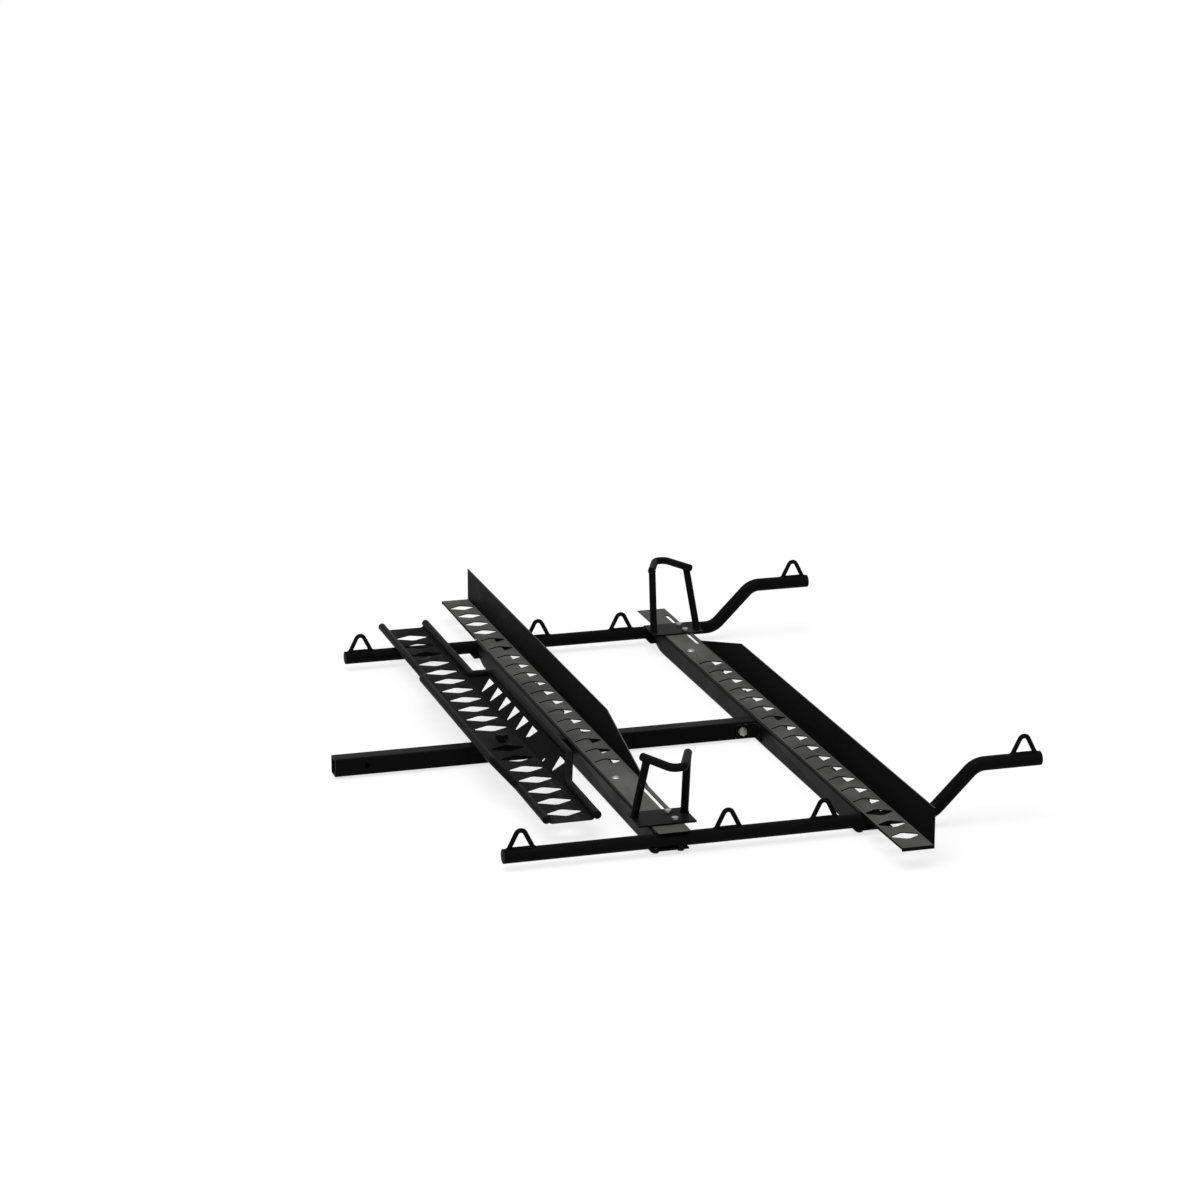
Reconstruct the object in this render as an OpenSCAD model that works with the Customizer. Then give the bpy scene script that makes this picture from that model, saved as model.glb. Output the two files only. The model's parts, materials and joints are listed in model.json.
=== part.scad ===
// Hitch carrier for two motorcycles.
// A square hitch beam carries two rails, each with a slotted tread on top.
// Two round cross bars join the rails' ends and hold tie-down loops.
// A loading ramp lies on the beam and a wheel chock stands on each tread.
// Origin: centre of the hitch pin hole, on the axis of the beam.
// +X points to the rear, +Y to the far end of the tracks, +Z up.

/* [Hitch beam] */
// Outside width of the square beam
beam_w = 50; // [46:1:60]
// Wall of the beam
beam_wall = 4; // [3:0.5:5]
// Outside corner radius of the beam
beam_corner_r = 5; // [4:0.5:8]
// Diameter of the hitch pin hole
pin_d = 16.5; // [13:0.5:18]
// From the pin hole to the open end of the shank
pin_setback = 90; // [60:1:140]
// How far the beam runs on past the rear rail
beam_overhang = 30; // [15:1:60]

/* [Tracks] */
// From the pin hole to the front rail's side
front_track_x = 560; // [520:1:700]
// Distance between the two tracks
track_pitch = 554; // [480:1:650]

/* [Rails] */
// Width of a rail
rail_w = 60; // [54:1:66]
// Wall of a rail
rail_wall = 3; // [2:0.5:4]
// Outside corner radius of a rail
rail_corner_r = 6; // [4.5:0.5:9]
// Free height below the beam inside a rail
rail_room = 3.6; // [2:0.1:8]
// Radius of the rounded cut under a rail's end
rail_trim_r = 300; // [260:5:360]

/* [Cross bars] */
// Diameter of the cross bars
bar_d = 38; // [34:1:42]
// Wall of the cross bars
bar_wall = 3; // [2:0.5:4]
// From the beam's axis to the near bar's axis
near_bar_reach = 836; // [760:1:900]
// From the beam's axis to the far bar's axis
far_bar_reach = 962; // [900:1:1050]
// How far the bars run forward of the front rail
bar_front = 398; // [360:1:420]
// From the rear tread's wall to the bend of a bar
bar_bend_gap = 83; // [60:1:120]
// Radius of the bends, on the bar's axis
bar_bend_r = 60; // [45:1:70]
// Angle of the bends
bar_bend_a = 45; // [35:1:55]
// How much higher the bar's rear end is
bar_rise = 122; // [90:1:150]
// Straight length of the raised end
bar_tail = 155; // [130:1:200]

/* [Tie-down loops] */
// Diameter of the loop's rod
loop_rod = 12.5; // [9:0.5:14]
// Distance between the loop's legs at the bar's top, on the rod's axis
loop_span = 62; // [56:1:68]
// Height above the bar at which the two legs would meet, on the rod's axis
loop_peak = 61.5; // [54:0.5:70]
// Depth of the loop's lower side below the bar's top, on the rod's axis
loop_sink = 2.5; // [1:0.5:4]
// Bend radius of the loop, on the rod's axis
loop_bend_r = 13; // [9:0.5:15]
// From a bar's end to the loop nearest to it
loop_end_gap = 45; // [42:1:60]
// From the front tread's wall to the next loop
loop_front_gap = 105; // [70:1:120]
// From the rear rail to the loop in front of it
loop_rear_gap = 96; // [70:1:120]

/* [Treads] */
// Thickness of the tread's sheet
tread_t = 3; // [2:0.5:4]
// From the rail's side to the edge of the tread
tread_edge = 5; // [3:0.5:8]
// Width of the tread's floor inside the wall
tread_w = 84; // [80:1:90]
// Height of the tread's wall above the rail
wall_h = 101; // [80:1:120]
// Length of a tread
tread_l = 2245; // [2200:1:2300]
// How far the front tread runs past the near bar
front_tread_over = 20; // [16:1:40]
// How far the rear tread runs past the near bar
rear_tread_over = 296; // [280:1:340]
// From the chock end to the full height of the wall
wall_full = 740; // [700:1:800]
// Fall of the wall's top edge towards the chock end
wall_fall = 0.26; // [0.24:0.01:0.3]
// Length of a slot, across the tread
slot_l = 72; // [60:1:74]
// Width of a slot at its middle
slot_w = 48; // [34:1:56]
// Distance between slots
slot_pitch = 92; // [80:1:110]
// From the chock end to the first slot
slot_first = 593; // [560:1:620]
// Width of the blunt tips of every slot
slot_tip = 10; // [3:0.5:14]
// Depth of the turned-down lip of a tread's end
lip_h = 10; // [7:0.5:14]
// From the chock end to the bolt that holds the tread
tread_bolt_y = 456; // [450:1:480]
// Shank diameter of the tread bolts
tread_bolt_d = 12; // [8:1:14]

/* [Foot plates] */
// Length of a foot plate, along the bar
foot_l = 102; // [96:1:110]
// How far a foot plate stands out in front of a rail
foot_front = 15; // [10:1:20]
// Width of a foot plate, across the bar
foot_w = 66; // [62:1:80]
// Thickness of a foot plate
foot_t = 4; // [3:0.5:8]
// Distance between the two bolts of a foot plate
foot_bolt_pitch = 68; // [60:1:72]
// Shank diameter of the foot bolts
foot_bolt_d = 10; // [8:1:12]

/* [Cleat] */
// Length of the cleat's leg on the beam
cleat_l = 62; // [56:1:80]
// Length of the cleat's leg on the rail
cleat_side_l = 45; // [30:1:60]
// Height of the cleat
cleat_h = 40; // [32:1:44]
// Thickness of the cleat
cleat_t = 5; // [4:0.5:8]
// From the rear rail to the bolt of the cleat
cleat_bolt_x = 42; // [36:1:46]
// Shank diameter of the cleat bolt
cleat_bolt_d = 12; // [10:1:14]

/* [Ramp] */
// From the front rail to the ramp's centre line
ramp_setback = 176.5; // [170:0.5:200]
// From the beam's axis to the near end of the ramp
ramp_near = 690; // [640:1:720]
// Length of the ramp
ramp_l = 1830; // [1780:1:1900]
// Width of the ramp's flat floor
ramp_floor_w = 112; // [106:1:118]
// Thickness of the ramp's sheet
ramp_t = 2; // [1.5:0.5:4]
// Diameter of the tubes along the ramp's edges
ramp_tube_d = 22; // [16:1:24]
// Wall of the ramp's tubes
ramp_tube_wall = 2; // [1.5:0.5:3]
// From the fold to the tube's axis at the ramp's ends
wing_low = 18; // [16:1:24]
// From the fold to the tube's axis in the ramp's middle
wing_high = 72; // [64:1:76]
// From the near end to where the wings start to rise
wing_start = 270; // [240:1:300]
// Length over which the wings rise
wing_run = 120; // [100:1:150]
// Length of the wings at full height
wing_top_l = 770; // [700:1:820]
// Length of a slot in the ramp's floor
ramp_slot_l = 90; // [80:1:96]
// Width of a slot in the ramp's floor
ramp_slot_w = 54; // [36:1:60]
// Distance between the ramp's slots
ramp_slot_pitch = 92; // [84:1:100]
// From the near end to the ramp's first slot
ramp_slot_first = 74; // [60:1:84]
// Length of a slot in a wing, up the slope
wing_slot_l = 41; // [34:1:46]
// Width of a slot in a wing at its upper end
wing_slot_w = 54; // [40:1:60]
// Diameter of the small hole in the wings
wing_hole_d = 12; // [8:1:14]

/* [Hold-down knob] */
// Diameter of the knob's head
knob_d = 34; // [28:1:40]
// Height of the knob's head
knob_h = 15; // [12:1:20]
// Height of the collar under the head
knob_collar_h = 6; // [4:1:10]
// Diameter of the collar under the head
knob_collar_d = 18; // [15:1:22]
// Diameter of the knob's stud
stud_d = 10; // [8:1:12]
// How deep the stud goes into the beam
stud_reach = 20; // [14:1:30]
// Outside diameter of the bush in the beam
bush_d = 18; // [16:1:22]

/* [Wheel chocks] */
// From the tread's chock end to the front chock
front_chock_set = 111; // [100:1:120]
// From the tread's chock end to the rear chock
rear_chock_set = 232; // [225:1:240]
// From the tread's chock end to the far end of the chocks' slot
chock_slot_end = 385; // [370:1:400]
// Length of the chock's base across the tread
base_l = 156; // [154:1:180]
// Width of the chock's base along the tread
base_w = 110; // [100:1:120]
// Thickness of the chock's base
base_t = 5; // [4:0.5:8]
// Distance between the bolts of a chock
chock_bolt_pitch = 60; // [50:1:70]
// From the rail's side to the chock's bolts
chock_bolt_x = 74.5; // [73:0.5:76]
// Shank diameter of the chock's bolts
chock_bolt_d = 10; // [8:1:10]
// Diameter of the chock's tubes
guide_d = 22; // [18:1:25]
// Wall of the chock's tubes
guide_wall = 2.5; // [2:0.5:3]
// Height of the guide's axis above the tread's floor
guide_z = 182; // [150:1:210]
// Distance between the guide's two free ends
guide_span = 120; // [112:1:130]
// From the free ends to where the two arms would meet
guide_depth = 143; // [130:1:160]
// Bend radius at the guide's nose, on the tube's axis
guide_bend_r = 24; // [20:1:32]
// From the chock's middle back to the free ends
guide_back = 32; // [24:1:40]
// Distance between the feet of the two legs
leg_span = 136; // [130:1:138]
// From the chock's middle to the legs' feet
leg_foot_y = 18; // [10:1:28]
// From an arm's free end to its leg
leg_top_gap = 16; // [14:1:26]

/* [Fits] */
// Gap where one flat piece passes through another
seat_gap = 0.2; // [0.1:0.1:0.4]
// Gap between a rail's top wall and the bar below it
bar_gap = 0.5; // [0.4:0.1:0.8]
// Gap where a round piece seats on another
weld_gap = 0.1; // [0.05:0.05:0.3]
// Radial gap round a bolt in a plain hole
bolt_gap = 0.4; // [0.2:0.1:0.8]
// Radial gap of a thread
thread_gap = 0.05; // [0.02:0.01:0.1]
// Gap below a piece that slides or turns
slide_gap = 0.2; // [0.1:0.1:0.4]
// Thickness of the flange of every end plug
plug_flange = 3; // [2:0.5:5]
// Depth of every end plug
plug_depth = 18; // [12:1:30]

/* [Hidden] */
$fn = 64;

// Overlap used in cuts
eps = 1;

powder_black = [0.07, 0.07, 0.075];
sheet_black = [0.1, 0.1, 0.105];
plug_black = [0.04, 0.04, 0.04];
zinc = [0.62, 0.62, 0.6];

// Heights
rail_h = beam_w + 2 * rail_wall + 2 * seat_gap + rail_room;
rail_top = beam_w / 2 + seat_gap + rail_wall;
rail_bottom = rail_top - rail_h;
bar_z = rail_top - rail_wall - bar_gap - bar_d / 2;
foot_top = bar_z - bar_d / 2;
rail_lift = foot_top - rail_bottom;

// The cut under a rail's end: flat over the foot plate, then an arc down to the rail's bottom
rail_flat = foot_w - bar_d / 2 + eps;
rail_trim_l = rail_flat + sqrt(2 * rail_trim_r * rail_lift - rail_lift * rail_lift);

// Inserts for the foot bolts
foot_mid = foot_l / 2 - foot_front;
insert_wall = 1.5;
insert_d = foot_bolt_d + 2 * insert_wall;
insert_h = 14;

// Places along X
rear_track_x = front_track_x + track_pitch;
tread_out = tread_edge + tread_w + tread_t;
beam_start = -pin_setback;
beam_end = rear_track_x + rail_w + beam_overhang;
bar_start = front_track_x - bar_front;
bar_bend_x = rear_track_x + tread_out + bar_bend_gap;
bar_slant = (bar_rise - 2 * bar_bend_r * (1 - cos(bar_bend_a))) / sin(bar_bend_a);
bar_dogleg = 2 * bar_bend_r * sin(bar_bend_a) + bar_slant * cos(bar_bend_a);
bar_end = bar_bend_x + bar_dogleg + bar_tail;
ramp_x = front_track_x - ramp_setback;

// Places along Y
near_bar_y = -near_bar_reach;
far_bar_y = far_bar_reach;
bar_spacing = far_bar_y - near_bar_y;
front_tread_y = near_bar_y - front_tread_over;
rear_tread_y = near_bar_y - rear_tread_over + tread_l;

// Fasteners, from the shank's diameter
hex_across = 1.7;
head_share = 0.65;
washer_share = 2;
washer_t = 2;
bend_swell = 0.15;
bend_lap = 1;

// Shared shapes

module tube(r_out, r_in, l) {
    difference() {
        cylinder(r = r_out, h = l);
        translate([0, 0, -eps]) cylinder(r = r_in, h = l + 2 * eps);
    }
}

module rounded_rect(w, h, r) {
    square([w - 2 * r, h], center = true);
    square([w, h - 2 * r], center = true);
    for (sx = [-1, 1], sy = [-1, 1])
        translate([sx * (w / 2 - r), sy * (h / 2 - r)]) circle(r);
}

// An outline in Y and Z, extruded along X
module along_x(l) rotate([90, 0, 90]) linear_extrude(l) children();

// An outline in X and Z, extruded along Y
module along_y(l) translate([0, l, 0]) rotate([90, 0, 0]) linear_extrude(l) children();

module flip_y(on) {
    if (on) mirror([0, 1, 0]) children();
    else children();
}

// A rod or tube along a flat path with a bend of one radius at each inner point.
// The straight parts run a little way into the bends, which are slightly thicker.
function leg_angle(p, i) = atan2(p[i + 1].y - p[i].y, p[i + 1].x - p[i].x);
function turn(p, i) = leg_angle(p, i) - leg_angle(p, i - 1);
function trim(p, i, r) = r * tan(abs(turn(p, i)) / 2);

module bent_rod(p, r, bend_r, over) {
    last = len(p) - 2;
    for (i = [0 : last]) {
        start = i == 0 ? -over : trim(p, i, bend_r) - bend_lap;
        end = norm(p[i + 1] - p[i]) + (i == last ? over : bend_lap - trim(p, i + 1, bend_r));
        leg(p, i, start, end, r);
    }
    for (i = [1 : last]) bend(p, i, r + bend_swell, bend_r);
}

module leg(p, i, start, end, r) translate([p[i].x, p[i].y, 0])
    rotate([0, 0, leg_angle(p, i)])
    translate([start, 0, 0])
    rotate([0, 90, 0])
    cylinder(r = r, h = end - start);

function heading(a) = [cos(a), sin(a)];
function bend_centre(p, i, r) = p[i] - trim(p, i, r) * heading(leg_angle(p, i - 1))
    + sign(turn(p, i)) * r * heading(leg_angle(p, i - 1) + 90);

module bend(p, i, r, bend_r) {
    a = leg_angle(p, i - 1);
    t = turn(p, i);
    centre = bend_centre(p, i, bend_r);
    translate([centre.x, centre.y, 0])
        rotate([0, 0, t > 0 ? a - 90 : a + 90 + t])
        rotate_extrude(angle = abs(t)) translate([bend_r, 0]) circle(r);
}

module bent_tube(p, r_out, r_in, bend_r) difference() {
    bent_rod(p, r_out, bend_r, 0);
    bent_rod(p, r_in, bend_r, eps);
}

// A slot of a lozenge shape with blunt tips, long in X
module lozenge(l, w, tip) {
    polygon([
        [-l / 2, -tip / 2], [-tip / 2, -w / 2], [tip / 2, -w / 2], [l / 2, -tip / 2],
        [l / 2, tip / 2], [tip / 2, w / 2], [-tip / 2, w / 2], [-l / 2, tip / 2]
    ]);
}

module round_slot(l, w, h) {
    for (y = [0, l]) translate([0, y, 0]) cylinder(d = w, h = h);
    translate([-w / 2, 0, 0]) cube([w, l, h]);
}

// Hexagon head or nut, standing on Z = 0
module hex(d, h) cylinder(d = hex_across * d / cos(30), h = h, $fn = 6);

module washer(d) {
    difference() {
        cylinder(d = washer_share * d, h = washer_t);
        translate([0, 0, -eps]) cylinder(d = d + 2 * bolt_gap, h = washer_t + 2 * eps);
    }
}

module nut(d) {
    difference() {
        hex(d, head_share * d + eps);
        translate([0, 0, -eps]) cylinder(d = d + 2 * thread_gap, h = d + 3 * eps);
    }
}

// Plug for a round tube, with its flange on the outside at Z > 0
module round_plug(d_out, wall) {
    cylinder(d = d_out, h = plug_flange);
    translate([0, 0, -plug_depth]) cylinder(d = d_out - 2 * wall - 2 * weld_gap, h = plug_depth + eps);
}

// Hitch beam

module beam_section(grow) rounded_rect(beam_w + 2 * grow, beam_w + 2 * grow, beam_corner_r + grow);

module beam_hollow() {
    inner = beam_w - 2 * beam_wall;
    rounded_rect(inner, inner, max(beam_corner_r - beam_wall, 0.5));
}

module hitch_beam() color(powder_black) difference() {
    translate([beam_start, 0, 0]) along_x(beam_end - beam_start) difference() {
        beam_section(0);
        beam_hollow();
    }
    translate([0, beam_w, 0]) rotate([90, 0, 0]) cylinder(d = pin_d, h = 2 * beam_w);
    translate([rear_track_x - cleat_bolt_x, beam_w, 0])
        rotate([90, 0, 0])
        cylinder(d = cleat_bolt_d + 2 * bolt_gap, h = 2 * beam_w);
    translate([ramp_x, 0, 0]) cylinder(d = bush_d + 2 * thread_gap, h = beam_w);
}

module beam_rear_plug() color(plug_black) {
    inner = beam_w - 2 * beam_wall - 2 * weld_gap;
    translate([beam_end, 0, 0]) along_x(plug_flange) beam_section(0);
    translate([beam_end - plug_depth, 0, 0])
        along_x(plug_depth + eps)
        rounded_rect(inner, inner, max(beam_corner_r - beam_wall, 0.5));
}

module ramp_bush() color(zinc) translate([ramp_x, 0, 0]) difference() {
    translate([0, 0, beam_w / 2 - stud_reach]) cylinder(d = bush_d, h = stud_reach);
    cylinder(d = stud_d + 2 * slide_gap, h = beam_w);
}

// Rails

module rail_end_trim(bar_y, far, inset) {
    translate([bar_y, 0]) mirror([far ? 1 : 0, 0]) difference() {
        translate([-3 * eps, rail_bottom - eps])
            square([rail_trim_l + 3 * eps, rail_lift + eps + inset]);
        translate([rail_trim_l, rail_bottom + rail_trim_r]) circle(rail_trim_r - inset, $fn = 360);
    }
}

module rail_side(inset, over) difference() {
    translate([near_bar_y - over, rail_bottom + inset])
        square([bar_spacing + 2 * over, rail_h - 2 * inset]);
    rail_end_trim(near_bar_y, false, inset);
    rail_end_trim(far_bar_y, true, inset);
}

module rail_shape(inset, over) intersection() {
    translate([rail_w / 2, near_bar_y - over, (rail_top + rail_bottom) / 2])
        along_y(bar_spacing + 2 * over)
        rounded_rect(rail_w - 2 * inset, rail_h - 2 * inset, rail_corner_r - inset);
    translate([-eps, 0, 0]) along_x(rail_w + 2 * eps) rail_side(inset, over);
}

module rail(bolt_y) difference() {
    rail_shape(0, 0);
    rail_shape(rail_wall, eps);
    translate([-eps, 0, 0]) along_x(rail_w + 2 * eps) beam_section(seat_gap);
    for (y = [near_bar_y, far_bar_y])
        translate([-eps, y, bar_z])
            rotate([0, 90, 0])
            cylinder(r = bar_d / 2 + weld_gap, h = rail_w + 2 * eps);
    for (y = [near_bar_y, far_bar_y])
        translate([foot_mid - foot_bolt_pitch / 2, y, foot_top - eps])
            cylinder(d = insert_d + 2 * bolt_gap, h = bar_d / 2);
    translate([rail_w / 2, bolt_y, rail_top - rail_wall - eps])
        cylinder(d = tread_bolt_d + 2 * bolt_gap, h = rail_wall + 2 * eps);
}

front_bolt_y = front_tread_y + tread_bolt_y;
rear_bolt_y = rear_tread_y - tread_bolt_y;

module front_rail() color(powder_black) translate([front_track_x, 0, 0]) rail(front_bolt_y);
module rear_rail() color(powder_black) translate([rear_track_x, 0, 0]) rail(rear_bolt_y);

// Treads, drawn from the chock end along +Y with the rail's side at X = 0

slot_count = floor((tread_l - slot_first - slot_pitch / 2) / slot_pitch) + 1;
slot_x = tread_edge + tread_w / 2;
chock_slot_w = chock_bolt_d + 2 * bolt_gap;
chock_slot_start = front_chock_set - chock_bolt_pitch / 2;
wall_toe = wall_full - (wall_h - tread_t) / wall_fall;
lip_end_h = lip_h * 0.6;

module tread_floor() difference() {
    translate([tread_edge, 0, 0]) cube([tread_w + tread_t, tread_l, tread_t]);
    for (i = [0 : slot_count - 1])
        translate([slot_x, slot_first + i * slot_pitch, -eps])
            linear_extrude(tread_t + 2 * eps)
            lozenge(slot_l, slot_w, slot_tip);
    translate([chock_bolt_x, chock_slot_start, -eps])
        round_slot(chock_slot_end - chock_slot_start, chock_slot_w, tread_t + 2 * eps);
    translate([rail_w / 2, tread_bolt_y, -eps])
        cylinder(d = tread_bolt_d + 2 * bolt_gap, h = tread_t + 2 * eps);
}

module tread_wall() translate([tread_out - tread_t, 0, 0]) along_x(tread_t)
    polygon([[wall_toe, 0], [tread_l, 0], [tread_l, wall_h], [wall_full, wall_h], [wall_toe, tread_t]]);

module tread_lip(lip_start) {
    translate([tread_edge, 0, 0]) along_x(tread_t) polygon([
        [lip_start, tread_t], [lip_start, tread_t - lip_h],
        [tread_l, tread_t - lip_end_h], [tread_l, tread_t]
    ]);
    translate([tread_edge, tread_l - tread_t, tread_t - lip_h])
        cube([tread_w + tread_t, tread_t, lip_h]);
}

module tread(lip_start) {
    tread_floor();
    tread_wall();
    tread_lip(lip_start);
}

front_lip = far_bar_y + bar_d / 2 + tread_t - front_tread_y;
rear_lip = rear_tread_y - near_bar_y + bar_d / 2 + tread_t;

module on_front_tread() translate([front_track_x, front_tread_y, rail_top]) children();
module on_rear_tread() translate([rear_track_x, rear_tread_y, rail_top]) flip_y(true) children();

module front_tread() color(sheet_black) on_front_tread() tread(front_lip);
module rear_tread() color(sheet_black) on_rear_tread() tread(rear_lip);

tread_bolt_grip = tread_t + rail_wall;
tread_bolt_l = tread_bolt_grip + tread_bolt_d + 2 * eps;

module tread_bolt() translate([rail_w / 2, tread_bolt_y, tread_t]) {
    intersection() {
        cylinder(d = 1.9 * tread_bolt_d, h = tread_bolt_d / 2);
        translate([0, 0, -tread_bolt_d * 0.95]) sphere(d = 2.7 * tread_bolt_d);
    }
    translate([0, 0, -tread_bolt_l]) cylinder(d = tread_bolt_d, h = tread_bolt_l + eps);
}

module tread_nut() translate([rail_w / 2, tread_bolt_y, -rail_wall]) mirror([0, 0, 1]) nut(tread_bolt_d);

module tread_bolts() color(zinc) {
    on_front_tread() tread_bolt();
    on_rear_tread() tread_bolt();
}

module tread_nuts() color(zinc) {
    on_front_tread() tread_nut();
    on_rear_tread() tread_nut();
}

// Cross bars, with the path drawn in X and Z

bar_path = [
    [bar_start, bar_z],
    [bar_bend_x + bar_bend_r * tan(bar_bend_a / 2), bar_z],
    [bar_bend_x + bar_dogleg - bar_bend_r * tan(bar_bend_a / 2), bar_z + bar_rise],
    [bar_end, bar_z + bar_rise]
];

module at_foot_bolts(y) for (x = [front_track_x, rear_track_x], side = [-1, 1])
    translate([x + foot_mid + side * foot_bolt_pitch / 2, y, foot_top]) children();

module bar(y) difference() {
    translate([0, y, 0]) rotate([90, 0, 0]) bent_tube(bar_path, bar_d / 2, bar_d / 2 - bar_wall, bar_bend_r);
    at_foot_bolts(y) translate([0, 0, -eps]) cylinder(d = insert_d + 2 * thread_gap, h = bar_d / 2);
}

module near_bar() color(powder_black) bar(near_bar_y);
module far_bar() color(powder_black) bar(far_bar_y);

module bar_plugs(y) {
    translate([bar_start, y, bar_z]) rotate([0, -90, 0]) round_plug(bar_d, bar_wall);
    translate([bar_end, y, bar_z + bar_rise]) rotate([0, 90, 0]) round_plug(bar_d, bar_wall);
}

module near_bar_plugs() color(plug_black) bar_plugs(near_bar_y);
module far_bar_plugs() color(plug_black) bar_plugs(far_bar_y);

// Tie-down loops, each seated on the round top of its bar.
// A lower side, a little thinner than the rod, joins the two legs.

loop_path = [[-loop_span / 2, 0], [0, loop_peak], [loop_span / 2, 0]];
loop_thinner = 1;

module loop() difference() {
    translate([0, 0, bar_d / 2]) {
        rotate([90, 0, 0]) bent_rod(loop_path, loop_rod / 2, loop_bend_r, loop_rod / 2);
        translate([-loop_span / 2, 0, -loop_sink])
            rotate([0, 90, 0])
            cylinder(d = loop_rod - loop_thinner, h = loop_span);
    }
    translate([-loop_span, 0, 0]) rotate([0, 90, 0]) cylinder(r = bar_d / 2 + weld_gap, h = 2 * loop_span);
}

module bar_loops(y) {
    low = [
        bar_start + loop_end_gap,
        front_track_x + tread_out + loop_front_gap,
        rear_track_x - loop_rear_gap
    ];
    for (x = low) translate([x, y, bar_z]) loop();
    translate([bar_end - loop_end_gap, y, bar_z + bar_rise]) loop();
}

module near_loops() color(powder_black) bar_loops(near_bar_y);
module far_loops() color(powder_black) bar_loops(far_bar_y);

// Foot plates under the crossings, bolted up into inserts in the bars

module foot_plate(y, far) difference() {
    for (x = [front_track_x, rear_track_x])
        translate([x + foot_mid - foot_l / 2, y - (far ? foot_w - bar_d / 2 : bar_d / 2), foot_top - foot_t])
            cube([foot_l, foot_w, foot_t]);
    at_foot_bolts(y)
        translate([0, 0, -foot_t - eps])
        cylinder(d = foot_bolt_d + 2 * bolt_gap, h = foot_t + 2 * eps);
}

module at_all_foot_bolts() for (y = [near_bar_y, far_bar_y]) at_foot_bolts(y) children();

module foot_plates() color(powder_black) {
    foot_plate(near_bar_y, false);
    foot_plate(far_bar_y, true);
}

module foot_bolts() color(zinc) at_all_foot_bolts() translate([0, 0, -foot_t - washer_t]) {
    mirror([0, 0, 1]) hex(foot_bolt_d, head_share * foot_bolt_d);
    translate([0, 0, -eps]) cylinder(d = foot_bolt_d, h = foot_t + washer_t + insert_h + eps);
}

module foot_washers() color(zinc) at_all_foot_bolts()
    translate([0, 0, -foot_t - washer_t]) washer(foot_bolt_d);

module foot_inserts() color(zinc) at_all_foot_bolts() translate([0, 0, weld_gap])
    tube(insert_d / 2, foot_bolt_d / 2 + thread_gap, insert_h);

// Cleat between the beam and the rear rail

beam_side = beam_w / 2;

module rear_cleat() color(powder_black) difference() {
    union() {
        translate([rear_track_x - cleat_l, -beam_side - cleat_t, -cleat_h / 2])
            cube([cleat_l, cleat_t, cleat_h]);
        translate([rear_track_x - cleat_t, -beam_side - cleat_side_l, -cleat_h / 2])
            cube([cleat_t, cleat_side_l, cleat_h]);
    }
    translate([rear_track_x - cleat_bolt_x, -beam_side + eps, 0])
        rotate([90, 0, 0])
        cylinder(d = cleat_bolt_d + 2 * bolt_gap, h = cleat_t + 2 * eps);
}

// The cleat bolt's own frame: Z along -Y, starting on the beam's axis
module on_cleat_bolt() translate([rear_track_x - cleat_bolt_x, 0, 0]) rotate([90, 0, 0]) children();

cleat_face = beam_side + cleat_t;
cleat_tip = beam_side + washer_t + head_share * cleat_bolt_d + 3 * eps;

module cleat_bolt() color(zinc) on_cleat_bolt() {
    translate([0, 0, cleat_face + washer_t]) hex(cleat_bolt_d, head_share * cleat_bolt_d);
    translate([0, 0, -cleat_tip]) cylinder(d = cleat_bolt_d, h = cleat_tip + cleat_face + washer_t + eps);
}

module cleat_washers() color(zinc) on_cleat_bolt() {
    translate([0, 0, cleat_face]) washer(cleat_bolt_d);
    translate([0, 0, -beam_side - washer_t]) washer(cleat_bolt_d);
}

module cleat_nut() color(zinc) on_cleat_bolt()
    translate([0, 0, -beam_side - washer_t]) mirror([0, 0, 1]) nut(cleat_bolt_d);

// Ramp, drawn from its near end along +Y on its centre line, with its underside at Z = 0

ramp_y = -ramp_near;
ramp_z = beam_w / 2;
ramp_bend_r = 2 * ramp_tube_d;
fold_a = 45;
ramp_edge = ramp_floor_w / 2;
ramp_inner = ramp_edge - ramp_t * tan(fold_a / 2);
wing_path = [
    [0, wing_low], [wing_start, wing_low],
    [wing_start + wing_run, wing_high], [wing_start + wing_run + wing_top_l, wing_high],
    [wing_start + 2 * wing_run + wing_top_l, wing_low], [ramp_l, wing_low]
];
ramp_slot_count = floor((ramp_l - ramp_slot_first - ramp_slot_pitch / 2) / ramp_slot_pitch) + 1;
ramp_slots = [for (i = [0 : ramp_slot_count - 1]) ramp_slot_first + i * ramp_slot_pitch];
// The floor stays whole round the hold-down knob
floor_slots = [for (y = ramp_slots) if (abs(y - ramp_near) > knob_d / 2 + ramp_slot_w / 2) y];
// Wing slots stand between the floor slots and leave out a stretch short of the beam
wing_whole_from = ramp_near - 2.6 * ramp_slot_pitch;
wing_whole_to = ramp_near - 0.6 * ramp_slot_pitch;
wing_slots = [
    for (y = ramp_slots)
        let (v = y - ramp_slot_pitch / 2)
        if (v > wing_start + wing_run - wing_slot_w / 2 && v < wing_start + wing_run + wing_top_l
            && (v < wing_whole_from || v > wing_whole_to)) v
];
wing_slot_low = 8;
wing_hole_low = 9;
wing_hole_y = ramp_near - 2.22 * ramp_slot_pitch;

module on_ramp() translate([ramp_x, ramp_y, ramp_z]) children();

// The right wing's plane: X along the ramp, Y up the slope, Z to the inner side
module on_wing(right) mirror([right ? 0 : 1, 0, 0])
    translate([ramp_edge, 0, 0])
    rotate([0, -fold_a, 0])
    mirror([1, -1, 0])
    children();

// A path's point moved to the path's lower side by r
function corner_angle(p, i) = i == 0 ? leg_angle(p, 0)
    : i == len(p) - 1 ? leg_angle(p, i - 1)
    : (leg_angle(p, i) + leg_angle(p, i - 1)) / 2;
function corner_share(p, i) = i == 0 || i == len(p) - 1 ? 1 : cos(turn(p, i) / 2);
function below(p, i, r) = p[i] - r / corner_share(p, i) * heading(corner_angle(p, i) + 90);

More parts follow.
